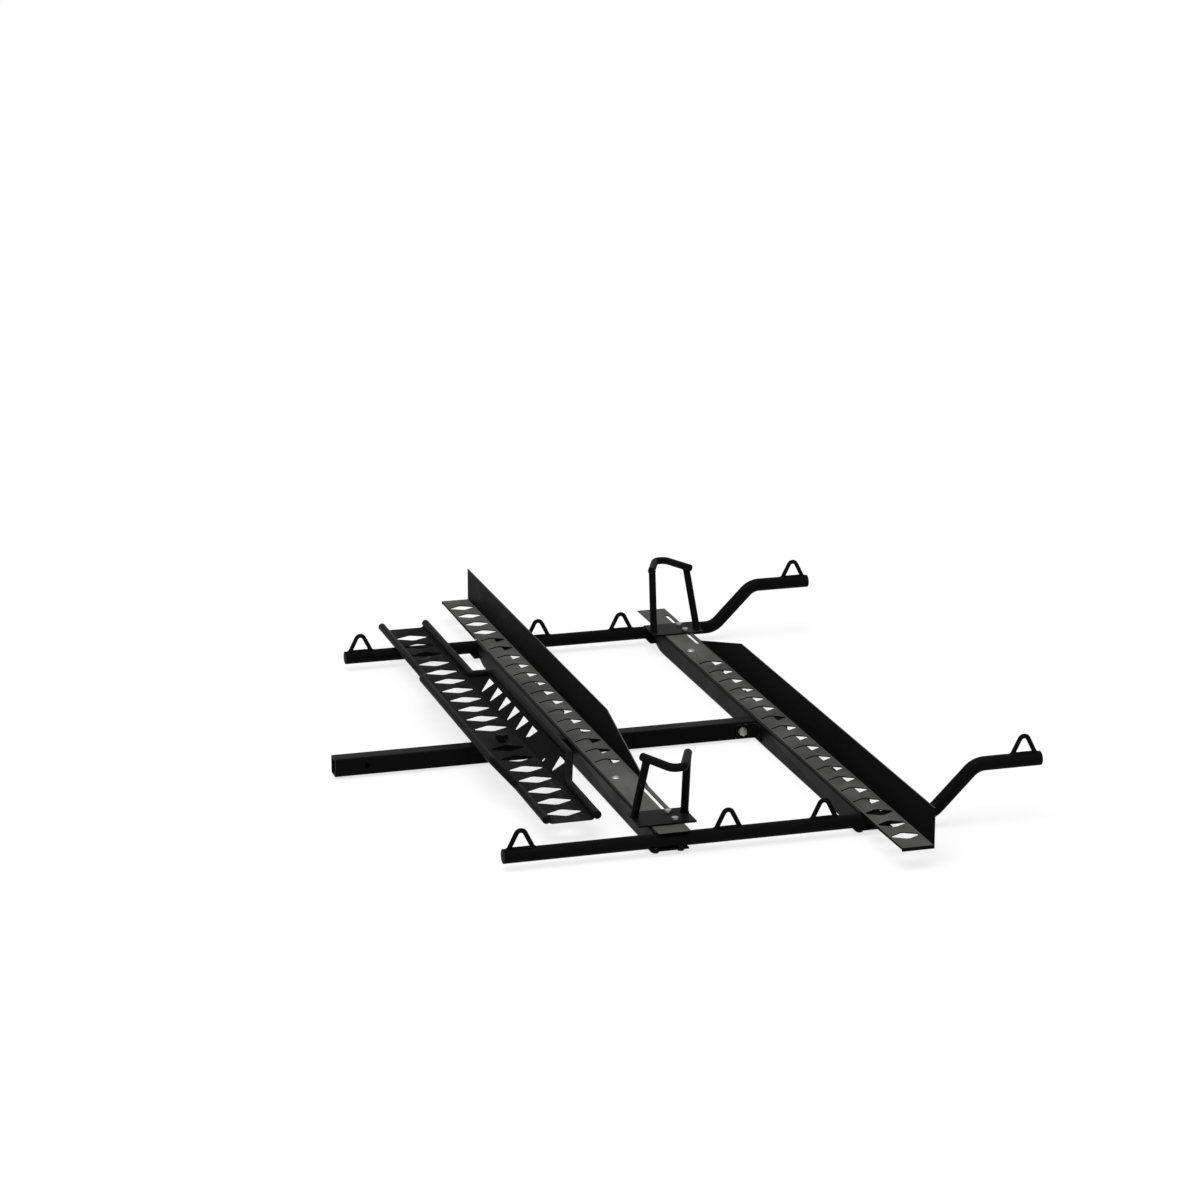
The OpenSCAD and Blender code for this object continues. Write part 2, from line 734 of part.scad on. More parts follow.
// The same, with the corner cut to short chords where the path bends down
bend_steps = 5;
function edge_points(p, i, r) = corner_share(p, i) == 1 || turn(p, i) > 0 ? [below(p, i, r)]
    : [for (k = [0 : bend_steps]) bend_centre(p, i, ramp_bend_r)
        + (ramp_bend_r - r) * heading(leg_angle(p, i - 1) + 90 + turn(p, i) * k / bend_steps)];

// A triangular slot with its blunt tip down
module wing_slot() polygon([
    [-slot_tip / 2, 0], [slot_tip / 2, 0],
    [wing_slot_w / 2, wing_slot_l], [-wing_slot_w / 2, wing_slot_l]
]);

wing_reach = wing_high + ramp_tube_d;
tube_room = ramp_tube_d / 2 + bend_swell + weld_gap;
// Sheet left between a slot and the tube
wing_web = 5;

// The part of a wing's plane from a line below the tube up
module above_tube(room) polygon(concat(
    [[-eps, wing_reach + eps], [-eps, wing_low - room]],
    [for (i = [0 : len(wing_path) - 1]) each edge_points(wing_path, i, room)],
    [[ramp_l + eps, wing_low - room], [ramp_l + eps, wing_reach + eps]]
));

// What is cut from a wing: everything from the tube up, the slots and the small hole
module wing_cut() {
    above_tube(tube_room);
    difference() {
        for (y = wing_slots) translate([y, wing_slot_low]) wing_slot();
        above_tube(tube_room + wing_web);
    }
    translate([wing_hole_y, wing_hole_low]) circle(d = wing_hole_d);
}

// The folded sheet in X and Z: a floor and two wings that meet on the folds' mitres
module floor_section() polygon([
    [-ramp_edge, 0], [ramp_edge, 0], [ramp_inner, ramp_t], [-ramp_inner, ramp_t]
]);

module wing_section() {
    tip = [ramp_edge + wing_reach * cos(fold_a), wing_reach * sin(fold_a)];
    across = ramp_t * [-sin(fold_a), cos(fold_a)];
    polygon([[ramp_edge, 0], tip, tip + across, [ramp_inner, ramp_t]]);
}

module ramp_floor() color(sheet_black) on_ramp() difference() {
    along_y(ramp_l) floor_section();
    for (y = floor_slots)
        translate([0, y, -eps]) linear_extrude(ramp_t + 2 * eps) lozenge(ramp_slot_l, ramp_slot_w, slot_tip);
    translate([0, ramp_near, -eps]) cylinder(d = stud_d + 2 * bolt_gap, h = ramp_t + 2 * eps);
}

module ramp_wing(right) on_ramp() difference() {
    mirror([right ? 0 : 1, 0, 0]) along_y(ramp_l) wing_section();
    on_wing(right) translate([0, 0, -eps]) linear_extrude(ramp_t + 2 * eps) wing_cut();
}

module ramp_left_wing() color(sheet_black) ramp_wing(false);
module ramp_right_wing() color(sheet_black) ramp_wing(true);

module ramp_tube(right) on_ramp() on_wing(right) translate([0, 0, ramp_t / 2])
    bent_tube(wing_path, ramp_tube_d / 2, ramp_tube_d / 2 - ramp_tube_wall, ramp_bend_r);

module ramp_left_tube() color(powder_black) ramp_tube(false);
module ramp_right_tube() color(powder_black) ramp_tube(true);

module ramp_tube_plugs() color(plug_black) on_ramp() for (right = [false, true], end = [false, true])
    on_wing(right)
        translate([end ? ramp_l : 0, wing_low, ramp_t / 2])
        rotate([0, end ? 90 : -90, 0])
        round_plug(ramp_tube_d, ramp_tube_wall);

// Hold-down knob

knob_bottom = ramp_z + ramp_t + slide_gap;
knob_lobes = 6;
lobe_d = knob_d / 3;

module ramp_knob() color(plug_black) translate([ramp_x, 0, knob_bottom]) difference() {
    union() {
        cylinder(d = knob_collar_d, h = knob_collar_h + eps);
        translate([0, 0, knob_collar_h]) cylinder(d = knob_d, h = knob_h);
    }
    for (i = [0 : knob_lobes - 1])
        rotate([0, 0, i * 360 / knob_lobes])
            translate([knob_d / 2 + lobe_d / 4, 0, knob_collar_h - eps])
            cylinder(d = lobe_d, h = knob_h + 2 * eps);
    translate([0, 0, -eps]) cylinder(d = stud_d + 2 * thread_gap, h = knob_collar_h + knob_h / 2 + eps);
}

module ramp_knob_stud() color(zinc) translate([ramp_x, 0, ramp_z - stud_reach])
    cylinder(d = stud_d, h = stud_reach + ramp_t + slide_gap + knob_collar_h + knob_h / 2);

// Wheel chocks, drawn round the chock's middle with the tread's floor at Z = 0

guide_path = [
    [-guide_span / 2, -guide_back], [0, -guide_back - guide_depth], [guide_span / 2, -guide_back]
];
guide_a = atan2(guide_depth, guide_span / 2);

module chock_base() difference() {
    translate([-base_l / 2, -base_w / 2, slide_gap / 2]) cube([base_l, base_w, base_t]);
    at_chock_bolts() translate([0, 0, -eps]) cylinder(d = chock_bolt_d + 2 * bolt_gap, h = base_t + 3 * eps);
}

module at_chock_bolts() for (side = [-1, 1])
    translate([chock_bolt_x - slot_x, side * chock_bolt_pitch / 2, 0]) children();

module chock_guide() translate([0, 0, guide_z])
    bent_tube(guide_path, guide_d / 2, guide_d / 2 - guide_wall, guide_bend_r);

// A leg is a little thinner than the guide and ends on the guide's round underside
leg_thinner = 1;
leg_d = guide_d - leg_thinner;
leg_sink = 20;

module chock_leg(side) {
    foot = [side * leg_span / 2, leg_foot_y, base_t];
    top = [
        side * (guide_span / 2 - leg_top_gap * cos(guide_a)),
        -guide_back - leg_top_gap * sin(guide_a),
        guide_z
    ];
    rise = top - foot;
    difference() {
        translate(foot)
            rotate([0, acos(rise.z / norm(rise)), atan2(rise.y, rise.x)])
            rotate([0, 0, 45])
            translate([0, 0, -leg_sink])
            tube(leg_d / 2, leg_d / 2 - guide_wall, norm(rise) + leg_sink);
        translate([-base_l, -base_l, base_t + slide_gap / 2 - 2 * base_l]) cube(2 * base_l);
        translate(top)
            rotate([0, 0, side > 0 ? guide_a : 180 - guide_a])
            translate([-2 * guide_d, 0, 0])
            rotate([0, 90, 0])
            cylinder(r = guide_d / 2 + weld_gap, h = 4 * guide_d);
    }
}

module chock_legs() for (side = [-1, 1]) chock_leg(side);

module chock_plugs() for (side = [-1, 1])
    translate([side * guide_span / 2, -guide_back, guide_z])
        rotate([0, 0, side > 0 ? guide_a : 180 - guide_a])
        rotate([0, 90, 0])
        round_plug(guide_d, guide_wall);

chock_bolt_tip = tread_t + slide_gap + chock_bolt_d + 2 * eps;

module chock_bolts() at_chock_bolts() {
    translate([0, 0, base_t + slide_gap / 2]) hex(chock_bolt_d, head_share * chock_bolt_d);
    translate([0, 0, -chock_bolt_tip]) cylinder(d = chock_bolt_d, h = chock_bolt_tip + base_t + eps);
}

module chock_nuts() at_chock_bolts()
    translate([0, 0, -tread_t - slide_gap]) mirror([0, 0, 1]) nut(chock_bolt_d);

module at_front_chock() on_front_tread() translate([slot_x, front_chock_set, tread_t]) children();
module at_rear_chock() on_rear_tread() translate([slot_x, rear_chock_set, tread_t]) children();

module front_chock_base() color(powder_black) at_front_chock() chock_base();
module front_chock_legs() color(powder_black) at_front_chock() chock_legs();
module front_chock_guide() color(powder_black) at_front_chock() chock_guide();
module front_chock_plugs() color(plug_black) at_front_chock() chock_plugs();
module front_chock_bolts() color(zinc) at_front_chock() chock_bolts();
module front_chock_nuts() color(zinc) at_front_chock() chock_nuts();

module rear_chock_base() color(powder_black) at_rear_chock() chock_base();
module rear_chock_legs() color(powder_black) at_rear_chock() chock_legs();
module rear_chock_guide() color(powder_black) at_rear_chock() chock_guide();
module rear_chock_plugs() color(plug_black) at_rear_chock() chock_plugs();
module rear_chock_bolts() color(zinc) at_rear_chock() chock_bolts();
module rear_chock_nuts() color(zinc) at_rear_chock() chock_nuts();

hitch_beam();
beam_rear_plug();
front_rail();
rear_rail();
front_tread();
rear_tread();
tread_bolts();
tread_nuts();
near_bar();
far_bar();
near_bar_plugs();
far_bar_plugs();
near_loops();
far_loops();
foot_plates();
foot_bolts();
foot_washers();
foot_inserts();
rear_cleat();
cleat_bolt();
cleat_washers();
cleat_nut();
ramp_bush();
ramp_floor();
ramp_left_wing();
ramp_right_wing();
ramp_left_tube();
ramp_right_tube();
ramp_tube_plugs();
ramp_knob();
ramp_knob_stud();
front_chock_base();
front_chock_legs();
front_chock_guide();
front_chock_plugs();
front_chock_bolts();
front_chock_nuts();
rear_chock_base();
rear_chock_legs();
rear_chock_guide();
rear_chock_plugs();
rear_chock_bolts();
rear_chock_nuts();
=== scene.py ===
# %% [markdown]
# # A hitch carrier with two treads and a ramp
# The carrier is welded from square and round steel tube, folded sheet and plate, and coated satin black.
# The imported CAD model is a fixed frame: every piece made here rides on one of its bodies.
# Where a CAD shape is right but too crisp, a copy with softened edges stands in for it.

# %% Load the frame
import json
import math

import bmesh
import bpy
from mathutils import Matrix, Vector


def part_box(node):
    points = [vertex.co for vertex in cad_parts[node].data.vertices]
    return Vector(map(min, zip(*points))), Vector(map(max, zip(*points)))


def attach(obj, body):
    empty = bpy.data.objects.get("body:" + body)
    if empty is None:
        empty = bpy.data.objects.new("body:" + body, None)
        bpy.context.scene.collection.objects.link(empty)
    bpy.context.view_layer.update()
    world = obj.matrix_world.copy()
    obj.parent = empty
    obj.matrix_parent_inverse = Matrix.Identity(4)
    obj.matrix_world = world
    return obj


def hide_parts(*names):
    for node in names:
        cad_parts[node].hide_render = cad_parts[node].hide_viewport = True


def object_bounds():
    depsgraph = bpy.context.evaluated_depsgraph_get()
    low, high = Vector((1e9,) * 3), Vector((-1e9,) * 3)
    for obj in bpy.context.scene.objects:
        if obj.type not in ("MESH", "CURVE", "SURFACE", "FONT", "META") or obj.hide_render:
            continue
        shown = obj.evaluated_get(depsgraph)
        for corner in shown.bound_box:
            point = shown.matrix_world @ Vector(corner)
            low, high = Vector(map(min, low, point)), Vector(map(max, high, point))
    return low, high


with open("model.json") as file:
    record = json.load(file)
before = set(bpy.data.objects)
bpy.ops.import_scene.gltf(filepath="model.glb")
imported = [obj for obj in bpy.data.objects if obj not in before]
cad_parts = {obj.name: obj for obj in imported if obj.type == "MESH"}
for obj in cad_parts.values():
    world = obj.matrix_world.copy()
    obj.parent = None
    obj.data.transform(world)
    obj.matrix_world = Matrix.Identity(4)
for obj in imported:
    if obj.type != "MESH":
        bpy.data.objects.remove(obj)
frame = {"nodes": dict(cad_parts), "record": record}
cad_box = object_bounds()
nodes = frame["nodes"]
bodies = frame["record"]["behaviour"]["bodies"]
body_of = {node: body for body, members in bodies.items() for node in members}
slot_of = {part["node"]: part["material_slot"] for part in frame["record"]["subparts"]}

# %% [markdown]
# ## Sizes
# A tube is known by its outer radius and by the radius that it is bent to, so these come first.
# Places are read from the boxes of the CAD nodes, so they follow the model when it changes.

# %% Sizes in metres
MM = 0.001
BAR_R, BAR_BEND = 19 * MM, 60 * MM
LOOP_R, LOOP_BEND = 6.25 * MM, 13 * MM
RAMP_TUBE_R, RAMP_BEND = 11 * MM, 44 * MM
GUIDE_R, GUIDE_BEND = 11 * MM, 24 * MM
LEG_R = 10.5 * MM
BEAM_HALF = 25 * MM


def centre(box):
    return (box[0] + box[1]) / 2


low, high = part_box("hitch_beam")
print("beam runs from x", round(low.x, 3), "to", round(high.x, 3), "m")

# %% [markdown]
# ## Shader groups
# Three effects are shared by several finishes: grain, rubbed edges, and dust with painted sheen on faces
# that look up.
# Each could be repeated in every material, but a node group is built once and placed with its own values.
# All of them read Object coordinates, so a pattern runs on from one piece to the next at its real scale.

# %% Helpers for node groups
FLOAT = "NodeSocketFloat"


def new_group(name, kind, inputs, outputs):
    tree = bpy.data.node_groups.new(name, kind)
    for label, socket, value in inputs:
        made = tree.interface.new_socket(label, in_out="INPUT", socket_type=socket)
        if value is not None:
            made.default_value = value
    for label, socket in outputs:
        tree.interface.new_socket(label, in_out="OUTPUT", socket_type=socket)
    return tree, tree.nodes.new("NodeGroupInput"), tree.nodes.new("NodeGroupOutput")


def add(tree, kind, links=None, **settings):
    node = tree.nodes.new(kind)
    for key, value in settings.items():
        setattr(node, key, value)
    for socket, source in (links or {}).items():
        if isinstance(source, bpy.types.NodeSocket):
            tree.links.new(source, node.inputs[socket])
        else:
            node.inputs[socket].default_value = source
    return node


def math_node(tree, operation, first, second):
    return add(tree, "ShaderNodeMath", {0: first, 1: second}, operation=operation).outputs[0]


def object_noise(tree, scale, detail, stretch=(1, 1, 1)):
    place = add(tree, "ShaderNodeTexCoord").outputs["Object"]
    turned = add(tree, "ShaderNodeMapping", {"Vector": place, "Scale": stretch}).outputs[0]
    noise = add(tree, "ShaderNodeTexNoise", {"Vector": turned, "Scale": scale, "Detail": detail})
    return noise.outputs["Fac"]


print("helpers for node groups are ready")

# %% [markdown]
# ### Coat grain
# Sprayed powder melts into a skin like the peel of an orange, with broad patches that are a little duller.
# An image could hold this, but it would stretch on bent tubes.
# Two noises do it here: a fine one for the peel and a coarse one for the mottle.

# %% Coat grain group
grain, given, result = new_group(
    "coat_grain", "ShaderNodeTree",
    [("Peel Scale", FLOAT, 700.0), ("Mottle Scale", FLOAT, 7.0)],
    [("Peel", FLOAT), ("Mottle", FLOAT)])
grain.links.new(object_noise(grain, given.outputs["Peel Scale"], 2.0), result.inputs["Peel"])
grain.links.new(object_noise(grain, given.outputs["Mottle Scale"], 5.0), result.inputs["Mottle"])
print("group:", grain.name)

# %% [markdown]
# ### Rubbed edges
# Coat wears off first where an edge is touched or struck, and never evenly.
# A shader can look for edges by itself, but only while it renders, and an export loses that.
# Softened edges therefore carry an attribute named edge, and noise breaks it into patches.

# %% Rubbed edges group
FADE = 0.12
rub, given, result = new_group(
    "rubbed_edges", "ShaderNodeTree",
    [("Patch Scale", FLOAT, 45.0), ("Start", FLOAT, 0.5)], [("Mask", FLOAT)])
patches = object_noise(rub, given.outputs["Patch Scale"], 6.0)
edge = add(rub, "ShaderNodeAttribute", attribute_name="edge").outputs["Fac"]
stop = math_node(rub, "ADD", given.outputs["Start"], FADE)
broken = add(rub, "ShaderNodeMapRange", {
    "Value": patches, "From Min": given.outputs["Start"], "From Max": stop}, interpolation_type="SMOOTHSTEP")
rub.links.new(math_node(rub, "MULTIPLY", edge, broken.outputs[0]), result.inputs["Mask"])
print("group:", rub.name)

# %% [markdown]
# ### Dust and painted sheen
# Faces that look up are made lighter, in clouds that are thick here and thin there: partly settled dust,
# partly painted sheen of light from above.
# The normal in the object's own space tells which faces look up, from any side that they are seen.
# Noise gives the clouds, and the input Thinnest keeps some of the lighter tone between them.

# %% Dust and painted sheen group
UPWARD_FROM = 0.9
dust_and_sheen, given, result = new_group(
    "settled_dust", "ShaderNodeTree",
    [("Patch Scale", FLOAT, 9.0), ("Thinnest", FLOAT, 0.0), ("Amount", FLOAT, 0.2)], [("Mask", FLOAT)])
normal = add(dust_and_sheen, "ShaderNodeTexCoord").outputs["Normal"]
up = add(dust_and_sheen, "ShaderNodeSeparateXYZ", {0: normal}).outputs["Z"]
# Faces that look up get the lighter tone: dust, and painted sheen of the light from above
flat = add(dust_and_sheen, "ShaderNodeMapRange", {"Value": up, "From Min": UPWARD_FROM, "From Max": 1.0}).outputs[0]
cloud = add(dust_and_sheen, "ShaderNodeMapRange", {
    "Value": object_noise(dust_and_sheen, given.outputs["Patch Scale"], 8.0), "From Min": 0.3, "From Max": 0.75,
    "To Min": given.outputs["Thinnest"]}).outputs[0]
on_tops = math_node(dust_and_sheen, "MULTIPLY", flat, cloud)
dust_and_sheen.links.new(math_node(dust_and_sheen, "MULTIPLY", on_tops, given.outputs["Amount"]), result.inputs["Mask"])
print("group:", dust_and_sheen.name)

# %% [markdown]
# ## Finishes
# The object has few finishes: black coat, the same coat with dust, painted sheen and scuffs, black plastic
# and zinc.
# Each is one Principled shader, with the groups above feeding its colour, roughness and bump.
# Numbers that are the same all over sit on the shader itself, so the export keeps them.

# %% Material helpers
def new_finish(name):
    material = bpy.data.materials.new(name)
    material.use_nodes = True
    tree = material.node_tree
    shader = next(n for n in tree.nodes if n.type == "BSDF_PRINCIPLED")
    return material, tree, shader


def placed_group(tree, group, **values):
    node = add(tree, "ShaderNodeGroup", node_tree=group)
    for key, value in values.items():
        node.inputs[key.replace("_", " ")].default_value = value
    return node


def mixed(tree, factor, first, second):
    node = add(tree, "ShaderNodeMix", {0: factor, 6: first, 7: second}, data_type="RGBA")
    return node.outputs[2]


def spread(tree, value, low, high):
    return add(tree, "ShaderNodeMapRange", {
        "Value": value, "From Min": 0.3, "From Max": 0.7, "To Min": low, "To Max": high}).outputs[0]


def skin(tree, shader, height, strength, depth):
    bump = add(tree, "ShaderNodeBump", {"Height": height, "Strength": strength, "Distance": depth})
    tree.links.new(bump.outputs[0], shader.inputs["Normal"])


print("material helpers are ready")

# %% [markdown]
# ### Black coat
# Powder coat is a deep satin black: its bump is faint and its roughness varies slowly.
# The specular level is low, because a matt coat that mirrored the white studio would look grey.
# The rails have the same coat, and their tops are as light as the tread floors: dust that falls through the
# treads, and painted sheen.

# %% Black coats
# Light grey of dust and painted sheen, mixed in on faces that look up
DUST_AND_SHEEN = (0.115, 0.114, 0.112, 1)
BARE = (0.14, 0.14, 0.14, 1)


def black_coat(name, dark, light, rough, peel, rubbed, shine, **dust_and_sheen_values):
    material, tree, shader = new_finish(name)
    texture = placed_group(tree, grain, Peel_Scale=peel)
    dust_and_sheen_mask = placed_group(tree, dust_and_sheen, **dust_and_sheen_values).outputs["Mask"]
    worn = placed_group(tree, rub, Start=rubbed).outputs["Mask"]
    colour = mixed(tree, texture.outputs["Mottle"], dark, light)
    # Faces that look up turn lighter here: dust and painted sheen
    colour = mixed(tree, dust_and_sheen_mask, colour, DUST_AND_SHEEN)
    colour = mixed(tree, worn, colour, BARE)
    tree.links.new(colour, shader.inputs["Base Color"])
    tree.links.new(spread(tree, texture.outputs["Mottle"], *rough), shader.inputs["Roughness"])
    skin(tree, shader, texture.outputs["Peel"], strength=0.25, depth=0.15 * MM)
    shader.inputs["Specular IOR Level"].default_value = shine
    print("finish:", name)
    return material, tree, shader


POWDER = dict(
    dark=(0.002, 0.002, 0.0022, 1), light=(0.004, 0.004, 0.0043, 1), rough=(0.36, 0.48), peel=700.0,
    rubbed=0.58, shine=0.014)
powder, _, _ = black_coat("powder_coat", **POWDER, Amount=0.05)
# The rails' tops take as much of the lighter tone as the tread floors: dust and painted sheen
rail_coat, _, _ = black_coat("rail_coat", **POWDER, Amount=0.85, Thinnest=0.55)

# %% [markdown]
# ### Scuffed coat
# The treads' floors are grey with dust and painted sheen and streaked along their length. The ramp has
# little of that grey, which leaves it darker as painted shade, and fewer streaks.
# The streaks could be cut into the mesh, but they are only scratches in the coat.
# A noise that is stretched lengthwise draws them, on faces that look up.

# %% Scuffed coats of the treads and the ramp
WORN = dict(
    dark=(0.0025, 0.0025, 0.0027, 1), light=(0.005, 0.005, 0.0053, 1), rough=(0.42, 0.56), peel=520.0,
    rubbed=0.54, shine=0.005)
LENGTHWISE = (1.0, 0.06, 1.0)


def scuffed(name, amount, thinnest, scuff):
    material, tree, shader = black_coat(name, **WORN, Amount=amount, Thinnest=thinnest)
    on_tops = placed_group(tree, dust_and_sheen, Amount=scuff, Thinnest=1.0).outputs["Mask"]
    streaks = object_noise(tree, 60.0, 4.0, LENGTHWISE)
    scuffs = add(tree, "ShaderNodeMapRange", {
        "Value": streaks, "From Min": 0.56, "From Max": 0.8, "To Max": on_tops}).outputs[0]
    coat = shader.inputs["Base Color"].links[0].from_socket
    tree.links.new(mixed(tree, scuffs, coat, BARE), shader.inputs["Base Color"])
    return material


# The tread floors take a thick lighter tone: dust and painted sheen
tread_coat = scuffed("tread_coat", amount=0.85, thinnest=0.55, scuff=0.3)
# The ramp's coat is the same coat kept darker: painted shade
ramp_coat = scuffed("ramp_coat", amount=0.06, thinnest=0.2, scuff=0.1)

# %% [markdown]
# ### Plastic and zinc
# The plugs and the knob are moulded black plastic with a finer grain than the coat.
# The fasteners are dull zinc, and black zinc under the feet.
# Zinc is a metal, so its colour is what it mirrors, and a blotchy roughness keeps it dull.

# %% Grained plastic
plastic, tree, shader = new_finish("plug_plastic")
texture = placed_group(tree, grain, Peel_Scale=1500.0, Mottle_Scale=30.0)
# A little dust and painted sheen on faces that look up
dust_and_sheen_mask = placed_group(tree, dust_and_sheen, Amount=0.05).outputs["Mask"]
colour = mixed(tree, texture.outputs["Mottle"], (0.003, 0.003, 0.003, 1), (0.007, 0.007, 0.007, 1))
tree.links.new(mixed(tree, dust_and_sheen_mask, colour, DUST_AND_SHEEN), shader.inputs["Base Color"])
tree.links.new(spread(tree, texture.outputs["Mottle"], 0.5, 0.68), shader.inputs["Roughness"])
skin(tree, shader, texture.outputs["Peel"], strength=0.4, depth=0.1 * MM)
shader.inputs["Specular IOR Level"].default_value = 0.02
print("finish:", plastic.name)

# %% Dull zinc and black zinc
def plated(name, dark, light):
    material, tree, shader = new_finish(name)
    texture = placed_group(tree, grain, Peel_Scale=900.0, Mottle_Scale=120.0)
    tree.links.new(mixed(tree, texture.outputs["Mottle"], dark, light), shader.inputs["Base Color"])
    tree.links.new(spread(tree, texture.outputs["Mottle"], 0.38, 0.52), shader.inputs["Roughness"])
    skin(tree, shader, texture.outputs["Peel"], strength=0.2, depth=0.05 * MM)
    shader.inputs["Metallic"].default_value = 1.0
    print("finish:", name)
    return material


zinc = plated("zinc_plate", (0.20, 0.20, 0.195, 1), (0.36, 0.36, 0.35, 1))
black_zinc = plated("black_zinc", (0.008, 0.008, 0.009, 1), (0.016, 0.016, 0.017, 1))

# %% [markdown]
# ### Who wears what
# The record gives each node a material slot, and most nodes take the finish of that name.
# A few differ from their slot's finish: the ramp's sheet, the rails, and the bolts and washers of the feet.

# %% Every CAD node takes its finish
finish_of = {"powder_coat": powder, "tread_coat": tread_coat, "plug_plastic": plastic, "zinc_plate": zinc}
RAMP_SHEET_NODES = ("ramp_floor", "ramp_left_wing", "ramp_right_wing")
# The ramp's sheet takes the darker copy of the tread coat: painted shade
own_finish = {name: ramp_coat for name in RAMP_SHEET_NODES}
own_finish |= {"foot_bolts": black_zinc, "foot_washers": black_zinc}
own_finish |= {"front_rail": rail_coat, "rear_rail": rail_coat}


def finish(node):
    return own_finish.get(node, finish_of[slot_of[node]])


for name, node in nodes.items():
    node.data.materials.clear()
    node.data.materials.append(finish(name))
print("finishes on", len(nodes), "nodes")

# %% [markdown]
# ## Softened edges
# Sheet and plate never have knife edges: sawing, pressing and the coat itself round them.
# A Bevel modifier needs clean faces, and a CAD mesh is loose triangles.
# So a copy is merged into real faces, its sharp edges are bevelled in mesh code, and it replaces the node.
# The new narrow faces get the edge attribute that the rubbed-edge group reads.

# %% Placing and merging helpers
MERGE_GAP, FLAT_WITHIN = 2e-6, math.radians(0.3)


def put(name, mesh, body, replaced=()):
    piece = bpy.data.objects.new(name, mesh)
    bpy.context.scene.collection.objects.link(piece)
    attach(piece, body)
    if replaced:
        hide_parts(*replaced)
    print(name, len(mesh.polygons), "faces")


def stand_in(name, mesh, *replaced):
    put(name, mesh, body_of[replaced[0]], replaced)


def mesh_of(shape, name):
    mesh = bpy.data.meshes.new(name)
    shape.to_mesh(mesh)
    shape.free()
    return mesh


def smooth(mesh, sharp):
    mesh.shade_smooth()
    mesh.set_sharp_from_angle(angle=math.radians(sharp))


def merged(shape):
    bmesh.ops.remove_doubles(shape, verts=shape.verts, dist=MERGE_GAP)
    bmesh.ops.dissolve_limit(shape, angle_limit=FLAT_WITHIN, verts=shape.verts, edges=shape.edges)


def copy_of(node):
    shape = bmesh.new()
    shape.from_mesh(nodes[node].data)
    merged(shape)
    return shape


print("placing and merging helpers are ready")

# %% Softening helpers
FOLD, SHARP = 22.5, 30.0


def is_sharp(edge, limit):
    return len(edge.link_faces) == 2 and edge.calc_face_angle(0.0) > math.radians(limit)


def rounded_folds(shape, fold, offset):
    lines = [e for e in shape.edges if is_sharp(e, FOLD) and fold(e)]
    made = bmesh.ops.bevel(shape, geom=lines, offset=offset, segments=5, profile=0.5, affect="EDGES")
    return made["faces"]


def softened(shape, width, kept=()):
    kept = set(kept)
    sharp = [e for e in shape.edges if is_sharp(e, SHARP) and not kept.issuperset(e.link_faces)]
    mark = shape.faces.layers.float.new("edge")
    made = bmesh.ops.bevel(
        shape, geom=sharp, offset=width, segments=2, profile=0.5, affect="EDGES", clamp_overlap=True)
    for face in made["faces"]:
        face[mark] = 1.0


def soft_piece(name, shape, *replaced):
    mesh = mesh_of(shape, name)
    smooth(mesh, FOLD)
    mesh.materials.append(finish(replaced[0]))
    stand_in(name, mesh, *replaced)


print("softening helpers are ready")

# %% Tubes, plates and small parts, with the width of each soft edge in millimetres
SOFT = {
    "hitch_beam": 0.6, "front_rail": 0.6, "rear_rail": 0.6, "foot_plates": 0.8, "rear_cleat": 0.8,
    "front_chock_base": 0.8, "rear_chock_base": 0.8, "beam_rear_plug": 1.2, "near_bar_plugs": 1.0,
    "far_bar_plugs": 1.0, "ramp_tube_plugs": 0.8, "front_chock_plugs": 0.8, "rear_chock_plugs": 0.8,
    "ramp_knob": 1.2, "foot_washers": 0.3, "cleat_washers": 0.3, "tread_bolts": 0.4,
}
CHOCKS = ("front_chock", "rear_chock")
for node, width in SOFT.items():
    shape = copy_of(node)
    softened(shape, width * MM)
    soft_piece(node + "_soft", shape, node)
for chock in CHOCKS:
    soft_piece(chock + "_legs_soft", copy_of(chock + "_legs"), chock + "_legs")

# %% [markdown]
# ### Folded treads
# A tread is one sheet, pressed so that one side stands up as a wall, and a press leaves a round fold.
# Bevelling every edge alike would make the fold as crisp as the cut edges.
# So the fold's two edges are found first and rounded wide, and the rest are softened after that.

# %% Folded treads
LONG, NEAR = 20 * MM, 0.1 * MM
TREAD_EDGE, TREAD_FOLD_R = 0.6 * MM, 4 * MM


def runs_along(ends):
    return abs(ends[0].y - ends[1].y) > LONG


def wall_fold(edge, corner):
    ends = [v.co for v in edge.verts]
    in_corner = all(corner.x - NEAR < p.x and p.z < corner.z + NEAR for p in ends)
    return runs_along(ends) and in_corner


for node in ("front_tread", "rear_tread"):
    corner = Vector((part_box(node)[1].x, 0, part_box("front_rail")[1].z))
    shape = copy_of(node)
    folds = rounded_folds(shape, lambda edge: wall_fold(edge, corner), TREAD_FOLD_R)
    softened(shape, TREAD_EDGE, folds)
    soft_piece(node + "_soft", shape, node)

# %% [markdown]
# ### Folded ramp sheet
# The ramp's floor and wings are one folded sheet, which the CAD model holds as three mitred solids.
# Three softened copies would show a groove along each fold.
# Here the mitre faces are deleted, the three copies are merged into one sheet, and its folds are rounded.

# %% Folded ramp sheet
RAMP_HALF, RAMP_SHEET = 56 * MM, 2 * MM
RAMP_EDGE, RAMP_FOLD_R, FOLD_BAND = 0.5 * MM, 3 * MM, 1.5 * MM
WING_TILT = 45
MITRE, ALIKE = math.cos(math.radians(WING_TILT / 2)), 1e-3
ramp_low, ramp_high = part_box("ramp_floor")
ramp_x = centre((ramp_low, ramp_high)).x


def on_mitre(face):
    return abs(face.normal.y) < ALIKE and abs(abs(face.normal.x) - MITRE) < ALIKE


